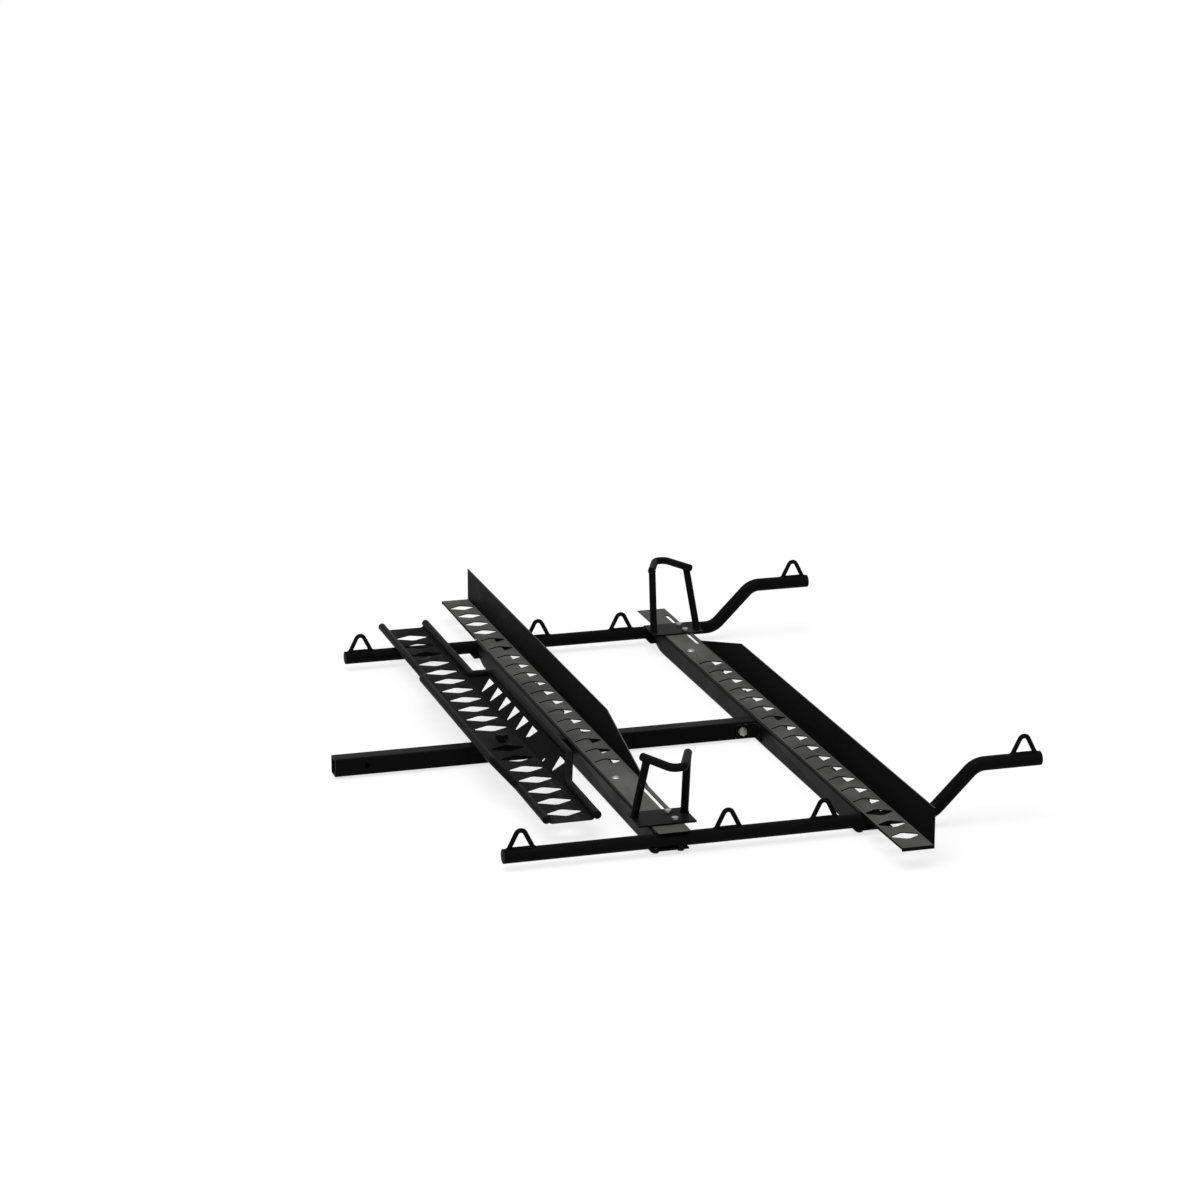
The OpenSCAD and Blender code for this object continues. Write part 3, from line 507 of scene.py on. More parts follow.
def wing_fold(edge):
    ends = [v.co for v in edge.verts]
    beside = all(abs(abs(p.x - ramp_x) - RAMP_HALF) < FOLD_BAND and p.z < ramp_high.z + NEAR for p in ends)
    return runs_along(ends) and beside


sheet = bmesh.new()
for node in RAMP_SHEET_NODES:
    part = copy_of(node)
    bmesh.ops.delete(part, geom=[f for f in part.faces if on_mitre(f)], context="FACES_ONLY")
    loose = mesh_of(part, node + "_loose")
    sheet.from_mesh(loose)
    bpy.data.meshes.remove(loose)
merged(sheet)
print("open edges left on the ramp sheet:", sum(e.is_boundary for e in sheet.edges))
softened(sheet, RAMP_EDGE, rounded_folds(sheet, wing_fold, RAMP_FOLD_R))
soft_piece("ramp_sheet_soft", sheet, *RAMP_SHEET_NODES)

# %% [markdown]
# ## Bent tubes
# The bars, loops, ramp edges and chock guides are tubes bent on a former, so each is a path and a radius.
# A Geometry Nodes tree takes a line drawing, rounds its corners and sweeps a circle along it.
# The result is made a plain mesh, because the export knows nothing of modifiers on a line.

# %% Tree that sweeps a tube
def end_tree(tree, geometry, given, result):
    real = add(tree, "GeometryNodeRealizeInstances", {0: geometry}).outputs[0]
    coated = add(tree, "GeometryNodeSetMaterial", {"Geometry": real, "Material": given.outputs["Finish"]})
    tree.links.new(coated.outputs[0], result.inputs[0])
    print("tree:", tree.name)


tube_tree, given, result = new_group(
    "bent_tube", "GeometryNodeTree",
    [("Line", "NodeSocketGeometry", None), ("Tube Radius", FLOAT, 0.01), ("Bend Radius", FLOAT, 0.03),
     ("Sides", "NodeSocketInt", 48), ("Finish", "NodeSocketMaterial", None)],
    [("Tube", "NodeSocketGeometry")])
line = add(tube_tree, "GeometryNodeMeshToCurve", {0: given.outputs["Line"]}).outputs[0]
fillet = add(tube_tree, "GeometryNodeFilletCurve", {
    "Curve": line, "Radius": given.outputs["Bend Radius"], "Count": 24}, mode="POLY").outputs[0]
ring = add(tube_tree, "GeometryNodeCurvePrimitiveCircle", {
    "Resolution": given.outputs["Sides"], "Radius": given.outputs["Tube Radius"]}).outputs[0]
swept = add(tube_tree, "GeometryNodeCurveToMesh", {
    "Curve": fillet, "Profile Curve": ring, "Fill Caps": True}).outputs[0]
end_tree(tube_tree, swept, given, result)

# %% Growing a line into a mesh
def drawing(name, lines):
    verts, edges = [], []
    for points in lines:
        start = len(verts)
        verts += [tuple(p) for p in points]
        edges += [(i, i + 1) for i in range(start, len(verts) - 1)]
    sketch = bpy.data.meshes.new(name + "_line")
    sketch.from_pydata(verts, edges, [])
    holder = bpy.data.objects.new(name + "_line", sketch)
    bpy.context.scene.collection.objects.link(holder)
    return holder


def grown(name, lines, tree, sharp=35.0, **values):
    holder = drawing(name, lines)
    modifier = holder.modifiers.new("grow", "NODES")
    modifier.node_group = tree
    for item in tree.interface.items_tree:
        key = item.name.replace(" ", "_")
        if item.in_out == "INPUT" and key in values:
            modifier[item.identifier] = values[key]
    ready = holder.evaluated_get(bpy.context.evaluated_depsgraph_get())
    mesh = bpy.data.meshes.new_from_object(ready)
    bpy.data.objects.remove(holder)
    mesh.name = name
    smooth(mesh, sharp)
    return mesh


def tube_piece(node, lines, radius, bend, sides):
    mesh = grown(node, lines, tube_tree, Tube_Radius=radius, Bend_Radius=bend, Sides=sides,
                 Finish=finish(node))
    stand_in(node + "_swept", mesh, node)


print("line grower is ready")

# %% [markdown]
# ### Cross bars
# Each bar is one length of tube with a dog-leg that lifts its rear end.
# Its path needs four points only: two ends, and the two corners that the tree rounds.
# A corner lies past the start of its bend by the bend's radius times the tangent of half its angle.

# %% Cross bars
BEND_START, BEND_RUN = 1290 * MM, 171.7 * MM
BAR_TURN = 45
CORNER = BAR_BEND * math.tan(math.radians(BAR_TURN / 2))
for name in ("near_bar", "far_bar"):
    low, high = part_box(name)
    y, floor, top = centre((low, high)).y, low.z + BAR_R, high.z - BAR_R
    path = [(low.x, y, floor), (BEND_START + CORNER, y, floor),
            (BEND_START + BEND_RUN - CORNER, y, top), (high.x, y, top)]
    tube_piece(name, [path], BAR_R, BAR_BEND, sides=64)

# %% [markdown]
# ### Tie-down loops
# A loop is a round rod bent to a steep V, and a lower rod, partly sunk in the bar, closes its foot.
# One node holds all the loops of a bar, so its points are walked, solid by solid, to find each loop's box.
# The V's legs run on into the bar, where no one sees their ends.

# %% Boxes of the separate solids in a node
def solids(node):
    shape = copy_of(node)
    waiting, boxes = set(shape.verts), []
    while waiting:
        stack, seen = [waiting.pop()], []
        while stack:
            vert = stack.pop()
            seen.append(vert.co.copy())
            for edge in vert.link_edges:
                other = edge.other_vert(vert)
                if other in waiting:
                    waiting.remove(other)
                    stack.append(other)
        lows = Vector([min(p[i] for p in seen) for i in range(3)])
        highs = Vector([max(p[i] for p in seen) for i in range(3)])
        boxes.append((lows, highs))
    shape.free()
    return sorted(boxes, key=lambda b: tuple(round(c, 5) for c in b[0]))


def over(box, z):
    return Vector((*centre(box).xy, z))


print("loops on the near bar:", len(solids("near_loops")))

# %% Tie-down loops
LOOP_HALF, LOOP_PEAK, LOOP_SINK = 31 * MM, 61.5 * MM, 3 * MM
SIDES = (-1, 1)


def loop_lines(foot):
    deeper = 1 + LOOP_R / LOOP_PEAK
    ends = [foot + Vector((side * LOOP_HALF * deeper, 0, -LOOP_R)) for side in SIDES]
    lower = [foot + Vector((side * LOOP_HALF, 0, -LOOP_SINK)) for side in SIDES]
    return [[ends[0], foot + Vector((0, 0, LOOP_PEAK)), ends[1]], lower]


bar_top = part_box("near_bar")[0].z + 2 * BAR_R
loop_height = min(box[1].z for box in solids("near_loops")) - bar_top
loop_feet = {}
for name in ("near_loops", "far_loops"):
    loop_feet[name] = [over(box, box[1].z - loop_height) for box in solids(name)]
    lines = [line for foot in loop_feet[name] for line in loop_lines(foot)]
    tube_piece(name, lines, LOOP_R, LOOP_BEND, sides=32)

# %% [markdown]
# ### Chock guides
# A guide is a tube bent to a V with a round nose, and it stands on two legs.
# Its size is the same on both chocks, and only the nose points the other way.
# The path is three points, placed from the boxes of the chock's own base and guide.

# %% Chock guides
GUIDE_HALF, GUIDE_AHEAD, GUIDE_DEPTH = 60 * MM, 32 * MM, 143 * MM


def chock_place(chock):
    base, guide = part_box(chock + "_base"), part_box(chock + "_guide")
    nose = 1 if chock == "rear_chock" else -1
    return nose, centre(guide).x, centre(base).y, base[1].z, centre(guide).z


def guide_path(chock):
    nose, x, y, _, height = chock_place(chock)
    start = y + nose * GUIDE_AHEAD
    return [(x - GUIDE_HALF, start, height), (x, start + nose * GUIDE_DEPTH, height),
            (x + GUIDE_HALF, start, height)]


for chock in CHOCKS:
    tube_piece(chock + "_guide", [guide_path(chock)], GUIDE_R, GUIDE_BEND, sides=40)

# %% [markdown]
# ### Ramp edge tubes
# A tube stiffens each edge of the ramp and rises with the wing in the middle.
# Its path is drawn flat, as a length along the ramp and a height up the wing.
# One function leans that drawing over to the wing's tilt, for the left and the right side alike.

# %% Ramp edge tubes
WING_LOW, WING_HIGH = 18 * MM, 72 * MM
WING = [(0.0, WING_LOW), (270 * MM, WING_LOW), (390 * MM, WING_HIGH),
        (1160 * MM, WING_HIGH), (1280 * MM, WING_LOW), (1830 * MM, WING_LOW)]
LEAN = math.sqrt(0.5)


def on_wing(side, along, up, out=RAMP_SHEET / 2):
    across = RAMP_HALF + up * LEAN - out * LEAN
    return Vector((ramp_x + side * across, ramp_low.y + along, ramp_low.z + up * LEAN + out * LEAN))


for name, side in (("ramp_left_tube", -1), ("ramp_right_tube", 1)):
    tube_piece(name, [[on_wing(side, y, up) for y, up in WING]], RAMP_TUBE_R, RAMP_BEND, sides=32)

# %% [markdown]
# ## Fasteners
# The CAD bolts are plain prisms. Real hex heads have a chamfered crown, and their tips show a thread.
# One detailed bolt or nut is built for each size, then Geometry Nodes set it on a point for every CAD solid.
# A seeded random spin keeps the heads from lining up, as no fitter lines them up.

# %% Tree that sets fasteners on points
bolt_tree, given, result = new_group(
    "set_fasteners", "GeometryNodeTree",
    [("Points", "NodeSocketGeometry", None), ("Fastener", "NodeSocketObject", None), ("Spin", FLOAT, 1.0),
     ("Seed", "NodeSocketInt", 3), ("Finish", "NodeSocketMaterial", None)],
    [("Fasteners", "NodeSocketGeometry")])
info = add(bolt_tree, "GeometryNodeObjectInfo", {"Object": given.outputs["Fastener"]}).outputs["Geometry"]
spin = add(bolt_tree, "FunctionNodeRandomValue", {
    "Max": given.outputs["Spin"], "Seed": given.outputs["Seed"]}, data_type="FLOAT")
turn = add(bolt_tree, "ShaderNodeCombineXYZ", {"Z": spin.outputs[1]}).outputs[0]
set_on = add(bolt_tree, "GeometryNodeInstanceOnPoints", {
    "Points": given.outputs["Points"], "Instance": info, "Rotation": turn}).outputs[0]
end_tree(bolt_tree, set_on, given, result)

# %% [markdown]
# ### One bolt and one nut
# A bolt is a turned shank and a hex head. The thread is drawn as rings and not as a helix:
# at this size no one can tell, and rings close at both ends without a seam.
# The head's rim is bevelled, as the crown of a real head is turned down.

# %% Turned shapes and threads
PITCH, THREAD_DEPTH, TIP = 1.5 * MM, 0.55 * MM, 0.8 * MM
FIRST_CREST, CREST, ROOT = 0.6, 0.25, 0.6


def lathe(shape, outline, sides):
    rings = []
    for radius, height in outline:
        turns = [2 * math.pi * i / sides for i in range(sides)]
        rings.append([shape.verts.new((radius * math.cos(t), radius * math.sin(t), height)) for t in turns])
    for lower, upper in zip(rings, rings[1:]):
        for i in range(sides):
            j = (i + 1) % sides
            shape.faces.new((lower[i], lower[j], upper[j], upper[i]))
    shape.faces.new(list(reversed(rings[0])))
    shape.faces.new(rings[-1])


def thread_outline(radius, low, high):
    outline = [(radius - TIP, low)]
    for i in range(max(1, round((high - low - PITCH) / PITCH))):
        base = low + (FIRST_CREST + i) * PITCH
        outline += [(radius, base), (radius, base + CREST * PITCH)]
        outline.append((radius - THREAD_DEPTH, base + ROOT * PITCH))
    return outline + [(radius, high)]


print("lathe is ready, with a pitch of", PITCH, "m")

# %% Hex bolts and nuts
ACROSS, HEAD, CROWN = 1.7, 0.65, 0.07
LEVEL = 1e-7


def hex_block(shape, across, low, high, chamfers):
    made = bmesh.ops.create_cone(
        shape, cap_ends=True, segments=6, radius1=across / math.sqrt(3), radius2=across / math.sqrt(3),
        depth=high - low, matrix=Matrix.Translation((0, 0, (low + high) / 2)))
    rims = set()
    for edge in (e for v in made["verts"] for e in v.link_edges):
        z, other = (v.co.z for v in edge.verts)
        if abs(z - other) < LEVEL and any(abs(z - rim) < LEVEL for rim in chamfers):
            rims.add(edge)
    bmesh.ops.bevel(shape, geom=list(rims), offset=CROWN * across, segments=2, profile=0.6, affect="EDGES")


def fastener_object(name, shape, turn):
    bmesh.ops.recalc_face_normals(shape, faces=shape.faces)
    shape.transform(turn)
    holder = bpy.data.objects.new(name, mesh_of(shape, name))
    bpy.context.scene.collection.objects.link(holder)
    return holder


def hex_bolt(name, d, length, turn):
    shape = bmesh.new()
    lathe(shape, thread_outline(d / 2, -length, 0.0), 20)
    hex_block(shape, ACROSS * d, 0.0, HEAD * d, [HEAD * d])
    return fastener_object(name, shape, turn)


def hex_nut(name, d, height, turn):
    shape = bmesh.new()
    hex_block(shape, ACROSS * d, 0.0, height, [0.0, height])
    return fastener_object(name, shape, turn)


print("a head is", HEAD, "and a hexagon", ACROSS, "of the thread's diameter")

# %% Hex bolts in place
DOWN = Matrix.Rotation(math.pi, 4, "X")
UP = Matrix.Identity(4)
TO_NEAR = Matrix.Rotation(math.pi / 2, 4, "X")
M10, M12 = 10 * MM, 12 * MM
ANY_WAY = 6.28


def set_fasteners(node, template, points, spin=ANY_WAY, seed=3):
    mesh = grown(node, [[p] for p in points], bolt_tree, sharp=25.0, Fastener=template, Spin=spin, Seed=seed,
                 Finish=finish(node))
    bpy.data.objects.remove(template)
    stand_in(node + "_detailed", mesh, node)


boxes = solids("foot_bolts")
seat = boxes[0][0].z + HEAD * M10
bolt = hex_bolt("foot_bolt", M10, boxes[0][1].z - seat, DOWN)
set_fasteners("foot_bolts", bolt, [over(box, seat) for box in boxes])
for chock in CHOCKS:
    boxes = solids(chock + "_bolts")
    seat = boxes[0][1].z - HEAD * M10
    bolt = hex_bolt("chock_bolt", M10, seat - boxes[0][0].z, UP)
    set_fasteners(chock + "_bolts", bolt, [over(box, seat) for box in boxes])
low, high = box = solids("cleat_bolt")[0]
seat = low.y + HEAD * M12
bolt = hex_bolt("beam_bolt", M12, high.y - seat, TO_NEAR)
set_fasteners("cleat_bolt", bolt, [(centre(box).x, seat, centre(box).z)], spin=0.0)

# %% Nuts in place
for node, d in (("front_chock_nuts", M10), ("rear_chock_nuts", M10), ("tread_nuts", M12)):
    boxes = solids(node)
    nut = hex_nut(node + "_one", d, boxes[0][1].z - boxes[0][0].z, DOWN)
    set_fasteners(node, nut, [over(box, box[1].z) for box in boxes], seed=8)
low, high = box = solids("cleat_nut")[0]
nut = hex_nut("cleat_nut_one", M12, high.y - low.y, TO_NEAR)
set_fasteners("cleat_nut", nut, [(centre(box).x, high.y, centre(box).z)], spin=0.0)

# %% [markdown]
# ### Knob stud
# The knob turns on a threaded stud that passes through the ramp's floor into the bush of the beam.
# The same thread outline is turned on the lathe once more, straight in its place.

# %% Threaded stud of the knob
STUD_R, STUD_SIDES = 5 * MM, 24
low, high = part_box("ramp_knob_stud")
shape = bmesh.new()
lathe(shape, thread_outline(STUD_R, low.z, high.z), STUD_SIDES)
shape.transform(Matrix.Translation(over((low, high), 0)))
bmesh.ops.recalc_face_normals(shape, faces=shape.faces)
mesh = mesh_of(shape, "ramp_knob_stud_thread")
smooth(mesh, 30.0)
mesh.materials.append(finish("ramp_knob_stud"))
stand_in("ramp_knob_stud_thread", mesh, "ramp_knob_stud")

# %% [markdown]
# ## Weld beads
# The frame is welded, and the coat covers the beads, so they show as rows of small overlapping ripples.
# Each seam is a line drawing. The tree walks it in even steps and sets a flattened drop at each step.
# A thin swept core under the drops closes the gaps between them.

# %% Tree that lays a bead
weld_tree, given, result = new_group(
    "weld_bead", "GeometryNodeTree",
    [("Seam", "NodeSocketGeometry", None), ("Bead Radius", FLOAT, 0.002), ("Step", FLOAT, 0.003),
     ("Seed", "NodeSocketInt", 5), ("Finish", "NodeSocketMaterial", None)],
    [("Bead", "NodeSocketGeometry")])
line = add(weld_tree, "GeometryNodeMeshToCurve", {0: given.outputs["Seam"]}).outputs[0]
steps = add(weld_tree, "GeometryNodeResampleCurve", {
    "Curve": line, "Length": given.outputs["Step"]}, mode="LENGTH").outputs[0]
drop = add(weld_tree, "GeometryNodeMeshUVSphere", {"Segments": 8, "Rings": 5, "Radius": 1.0}).outputs["Mesh"]
along = add(weld_tree, "GeometryNodeInputTangent").outputs[0]
facing = add(weld_tree, "FunctionNodeAlignRotationToVector", {"Vector": along}, axis="Z").outputs[0]
wobble = add(weld_tree, "FunctionNodeRandomValue", {
    "Min": 0.9, "Max": 1.12, "Seed": given.outputs["Seed"]}, data_type="FLOAT").outputs[1]
width = math_node(weld_tree, "MULTIPLY", wobble, given.outputs["Bead Radius"])
length = math_node(weld_tree, "MULTIPLY", given.outputs["Step"], 0.8)
drop_size = add(weld_tree, "ShaderNodeCombineXYZ", {"X": width, "Y": width, "Z": length}).outputs[0]
drops = add(weld_tree, "GeometryNodeInstanceOnPoints", {
    "Points": steps, "Instance": drop, "Rotation": facing, "Scale": drop_size}).outputs[0]
core_r = math_node(weld_tree, "MULTIPLY", given.outputs["Bead Radius"], 0.85)
core_ring = add(weld_tree, "GeometryNodeCurvePrimitiveCircle", {"Resolution": 8, "Radius": core_r})
core = add(weld_tree, "GeometryNodeCurveToMesh", {
    "Curve": steps, "Profile Curve": core_ring.outputs[0], "Fill Caps": True}).outputs[0]
joined = add(weld_tree, "GeometryNodeJoinGeometry")
weld_tree.links.new(drops, joined.inputs[0])
weld_tree.links.new(core, joined.inputs[0])
end_tree(weld_tree, joined.outputs[0], given, result)

# %% Laying beads on a body
X, Y, Z = Vector((1, 0, 0)), Vector((0, 1, 0)), Vector((0, 0, 1))
OFF = 0.4 * MM  # how far the line of a bead lies off the face that it runs along


def weld(name, seams, body, radius, step):
    mesh = grown(name, seams, weld_tree, sharp=80.0, Bead_Radius=radius, Step=step, Finish=powder)
    put(name, mesh, body)


def arc(middle, first, second, radius, start, stop, count):
    turns = [math.radians(start + (stop - start) * i / count) for i in range(count + 1)]
    return [middle + radius * (math.cos(t) * first + math.sin(t) * second) for t in turns]


print("beads lie", OFF, "m off most faces")

# %% [markdown]
# ### Beads of the frame
# A loop is welded all round its foot, so that seam is a long ring laid over the bar's round top.
# The bars meet the rails in arcs, and the beam meets them in a square with round corners.
# The cleat and the treads have straight seams, and those of the treads are short stitches with gaps between.

# %% Beads round the feet of the loops
RAISED = 0.3 * MM
FOOT_HALF, FOOT_SIDE = 31.7 * MM, LOOP_R + RAISED


def foot_seam(foot):
    outline = arc(FOOT_HALF * X, X, Y, FOOT_SIDE, start=-90, stop=90, count=8)
    outline += arc(-FOOT_HALF * X, X, Y, FOOT_SIDE, start=90, stop=270, count=8)
    heights = [math.sqrt((BAR_R + RAISED) ** 2 - p.y ** 2) - BAR_R for p in outline]
    seam = [foot + p + height * Z for p, height in zip(outline, heights)]
    return seam + seam[:1]


seams = [foot_seam(foot) for feet in loop_feet.values() for foot in feet]
weld("loop_welds", seams, "carrier", radius=1.7 * MM, step=2.4 * MM)

# %% Beads between rails, bars and beam
BAR_SEAM_R, TOP_SEAM, TOP_BACK, TOP_SHORT = BAR_R + 0.7 * MM, BAR_R + 1.2 * MM, 0.8 * MM, 4 * MM
BEAM_FLAT = 20 * MM
CORNERS = ((0, 1, 1), (90, -1, 1), (180, -1, -1), (270, 1, -1))
bar_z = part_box("near_bar")[0].z + BAR_R
seams = []
for rail in ("front_rail", "rear_rail"):
    low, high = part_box(rail)
    faces = (low.x - OFF, high.x + OFF)
    for bar, inward in (("near_bar", Y), ("far_bar", -Y)):
        bar_y = centre(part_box(bar)).y
        for x in faces:
            middle = Vector((x, bar_y, bar_z))
            seams.append(arc(middle, inward, Z, BAR_SEAM_R, start=-85, stop=60, count=24))
        seams.append([Vector((x, bar_y, bar_z + TOP_SEAM)) - TOP_BACK * inward
                      for x in (low.x + TOP_SHORT, high.x - TOP_SHORT)])
    for x in faces:
        square = []
        for start, y, z in CORNERS:
            middle = Vector((x, y * BEAM_FLAT, z * BEAM_FLAT))
            square += arc(middle, Y, Z, BEAM_HALF + OFF - BEAM_FLAT, start, start + 90, count=5)
        seams.append(square + square[:1])
weld("frame_welds", seams, "carrier", radius=2.2 * MM, step=3.2 * MM)

# %% Beads of the cleat and under the treads
CLEAT_SHORT, CLEAT_PAST = 2 * MM, 8 * MM
RAIL_END, STITCH, STITCH_PITCH, BEAM_ROOM = 80 * MM, 45 * MM, 240 * MM, 60 * MM
UNDER, BESIDE = 1.2 * MM, 0.3 * MM
low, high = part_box("rear_cleat")
x = high.x - OFF
ends = (low.y + CLEAT_SHORT, -BEAM_HALF - CLEAT_PAST)
seams = [[Vector((x, y, z)) for y in ends] for z in (low.z, high.z)]
seams.append([Vector((x, low.y, z)) for z in (low.z, high.z)])
for rail in ("front_rail", "rear_rail"):
    low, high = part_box(rail)
    x, z = high.x + BESIDE, high.z - UNDER
    for i in range(math.ceil((high.y - low.y - 2 * RAIL_END) / STITCH_PITCH)):
        y = low.y + RAIL_END + i * STITCH_PITCH
        if abs(y) > BEAM_ROOM:
            seams.append([Vector((x, y, z)), Vector((x, y + STITCH, z))])
weld("bracket_welds", seams, "carrier", radius=2.0 * MM, step=3.0 * MM)

# %% [markdown]
# ### Seam and stitches of the ramp
# The ramp's sheet runs up to its edge tubes, and the coat bridges the hair of a gap between them.
# A thin tube along the gap is that fillet of coat. Its path is the tubes' own, moved down the wing.
# Short beads on both sides of the sheet hold the tubes.

# %% Coat that fills the seam between the ramp's sheet and tubes
SEAM_R, SEAM_BELOW = 1.1 * MM, RAMP_TUBE_R + 0.3 * MM


def lowered(path, below):
    turns = [math.atan2(b[1] - a[1], b[0] - a[0]) for a, b in zip(path, path[1:])]
    line = []
    for i, (y, up) in enumerate(path):
        before, after = turns[max(i - 1, 0)], turns[min(i, len(turns) - 1)]
        middle, reach = (before + after) / 2, below / math.cos((after - before) / 2)
        line.append((y + reach * math.sin(middle), up - reach * math.cos(middle)))
    return line


lines = [[on_wing(side, y, up) for y, up in lowered(WING, SEAM_BELOW)] for side in SIDES]
mesh = grown("ramp_seam", lines, tube_tree, Tube_Radius=SEAM_R, Bend_Radius=RAMP_BEND, Sides=10,
             Finish=powder)
put("ramp_seam", mesh, "ramp")

# %% Stitch beads along the ramp's tubes
EDGE = lowered(WING, RAMP_TUBE_R - OFF)
STITCH_STARTS, STITCH_STEP, STITCH_POINTS = range(30, 1780, 150), 6, 8
PROUD = 0.6 * MM


def edge_height(along):
    for (y0, up0), (y1, up1) in zip(EDGE, EDGE[1:]):
        if y0 <= along <= y1:
            return up0 + (up1 - up0) * (along - y0) / (y1 - y0)


seams = []
for side in SIDES:
    for start in STITCH_STARTS:
        spots = [(start + STITCH_STEP * i) * MM for i in range(STITCH_POINTS)]
        for out in (-PROUD, RAMP_SHEET + PROUD):
            seams.append([on_wing(side, y, edge_height(y), out) for y in spots])
weld("ramp_welds", seams, "ramp", radius=1.6 * MM, step=2.8 * MM)

# %% [markdown]
# ### Beads of the chocks
# Each leg leans, so the ring where it meets the flat base is an ellipse, and at the guide it is a saddle.
# Neither is drawn by hand. A ring of points round the leg slides along the leg's own direction,
# until each point meets the base's face or the guide's round side.

# %% Beads of the chock legs
LEG_HALF, LEG_BEHIND, LEG_TOP_GAP = 68 * MM, 18 * MM, 16 * MM
BASE_RING_R, GUIDE_RING_R = LEG_R + 0.7 * MM, LEG_R - 0.7 * MM
ARM_TURN = math.atan2(GUIDE_DEPTH, GUIDE_HALF)


def leg_line(chock, outward):
    nose, x, y, base_top, height = chock_place(chock)
    arm = Vector((outward * math.cos(ARM_TURN), -nose * math.sin(ARM_TURN), 0))
    foot = Vector((x + outward * LEG_HALF, y - nose * LEG_BEHIND, base_top))
    top = Vector((x + outward * GUIDE_HALF, y + nose * GUIDE_AHEAD, height)) - LEG_TOP_GAP * arm
    return foot, top, arm


def leg_ring(foot, lean, radius):
    first = lean.orthogonal().normalized()
    return arc(foot, first, lean.cross(first), radius, start=0, stop=360, count=32)


def onto_base(p, foot, lean):
    return p + lean * ((foot.z + OFF - p.z) / lean.z)


def onto_guide(p, top, lean, arm):
    away = p - top
    across = away - arm * away.dot(arm)
    step = lean - arm * lean.dot(arm)
    a, b = step.dot(step), 2 * across.dot(step)
    c = across.dot(across) - (GUIDE_R + OFF) ** 2
    return p + lean * ((-b - math.sqrt(max(0.0, b * b - 4 * a * c))) / (2 * a))


for chock in CHOCKS:
    seams = []
    for outward in SIDES:
        foot, top, arm = leg_line(chock, outward)
        lean = (top - foot).normalized()
        seams.append([onto_base(p, foot, lean) for p in leg_ring(foot, lean, BASE_RING_R)])
        seams.append([onto_guide(p, top, lean, arm) for p in leg_ring(foot, lean, GUIDE_RING_R)])
    weld(chock + "_welds", seams, chock, radius=1.9 * MM, step=2.8 * MM)

# %% [markdown]
# ## Camera, floor and light
# The camera was solved from the photo's own straight edges, so the render lines up with it.
# The photo is a cut-out on white, so the floor is white to the camera and to reflections.
# Most of that white is the floor's own, through Light Path, and the rest is lit, so a faint shadow stays.
# A broad sun gives even soft light from above, and a weak lamp beside the camera draws the tubes' edges.

# %% Camera
LOOKS_DOWN, LOOKS_RIGHT = 15.928, 16.649
lens = bpy.data.cameras.new("photo_camera")
lens.sensor_width, lens.lens = 36.0, 106.85
lens.clip_end = 100.0
camera = bpy.data.objects.new("photo_camera", lens)
camera.location = (-2.0235, -8.9906, 3.0849)
camera.rotation_euler = (math.radians(90 - LOOKS_DOWN), 0.0, math.radians(-LOOKS_RIGHT))
bpy.context.scene.collection.objects.link(camera)
bpy.context.scene.camera = camera
print("camera at", tuple(round(c, 2) for c in camera.location))

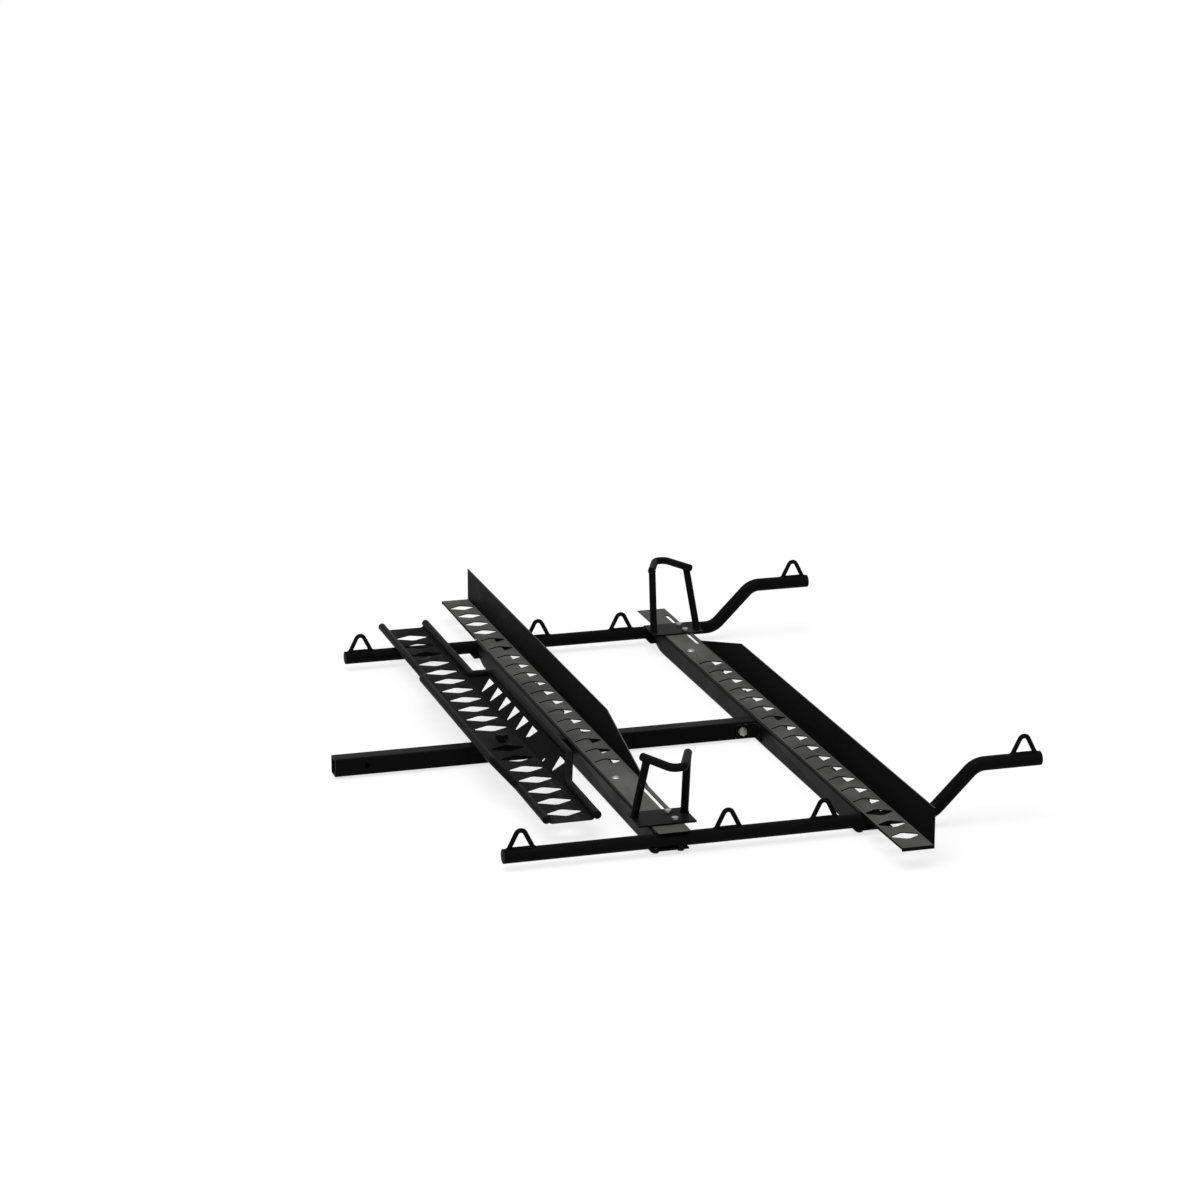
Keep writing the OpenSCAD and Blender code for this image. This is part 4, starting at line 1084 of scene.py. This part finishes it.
# %% Floor
WIDE, BELOW, OWN_WHITE = 30.0, 0.5 * MM, 0.75
mesh = bpy.data.meshes.new("studio_floor")
lowest = cad_box[0].z - BELOW
corners = [(x * WIDE, y * WIDE, lowest) for x, y in ((-1, -1), (1, -1), (1, 1), (-1, 1))]
mesh.from_pydata(corners, [], [(0, 1, 2, 3)])
floor = bpy.data.objects.new("studio_floor", mesh)
bpy.context.scene.collection.objects.link(floor)
paint, tree, shader = new_finish("studio_paint")
speckle = object_noise(tree, 3.0, 2.0)
tree.links.new(mixed(tree, speckle, (0.88, 0.88, 0.88, 1), (0.9, 0.9, 0.9, 1)), shader.inputs["Base Color"])
shader.inputs["Roughness"].default_value = 0.9
shader.inputs["Specular IOR Level"].default_value = 0.0


def seen_share(tree, unseen, seen):
    rays = add(tree, "ShaderNodeLightPath").outputs
    mask = rays["Is Camera Ray"]
    for kind in ("Is Glossy Ray", "Is Transmission Ray"):
        mask = math_node(tree, "MAXIMUM", mask, rays[kind])
    return add(tree, "ShaderNodeMapRange", {"Value": mask, "To Min": unseen, "To Max": seen}).outputs[0]


glow = add(tree, "ShaderNodeEmission", {"Color": (1, 1, 1, 1), "Strength": 1.0})
blend = add(tree, "ShaderNodeMixShader", {
    0: seen_share(tree, 0.0, OWN_WHITE), 1: shader.outputs[0], 2: glow.outputs[0]})
output = next(n for n in tree.nodes if n.type == "OUTPUT_MATERIAL")
tree.links.new(blend.outputs[0], output.inputs["Surface"])
mesh.materials.append(paint)
print("floor at z", round(lowest, 4))

# %% World
world = bpy.data.worlds.new("studio_world")
bpy.context.scene.world = world
world.use_nodes = True
tree = world.node_tree
tree.nodes.clear()
sky = add(tree, "ShaderNodeBackground", {"Color": (1, 1, 1, 1), "Strength": seen_share(tree, 0.5, 1.0)})
add(tree, "ShaderNodeOutputWorld", {"Surface": sky.outputs[0]})
print("world:", world.name)

# %% Lamps
middle = centre(cad_box)


def aimed(name, lamp, place_at):
    holder = bpy.data.objects.new(name, lamp)
    holder.location = place_at
    holder.rotation_euler = (middle - Vector(place_at)).to_track_quat("-Z", "Y").to_euler()
    bpy.context.scene.collection.objects.link(holder)


sun = bpy.data.lights.new("broad_sun", "SUN")
sun.energy, sun.angle = 2.2, math.radians(50)
aimed("broad_sun", sun, (middle.x - 0.8, middle.y - 0.6, middle.z + 3.0))
panel = bpy.data.lights.new("side_panel", "AREA")
panel.shape, panel.size, panel.energy = "DISK", 2.0, 40.0
aimed("side_panel", panel, (middle.x - 3.0, middle.y - 3.2, 2.2))
bpy.context.scene.view_settings.view_transform = "Standard"
print("lamps over", tuple(round(c, 2) for c in middle))
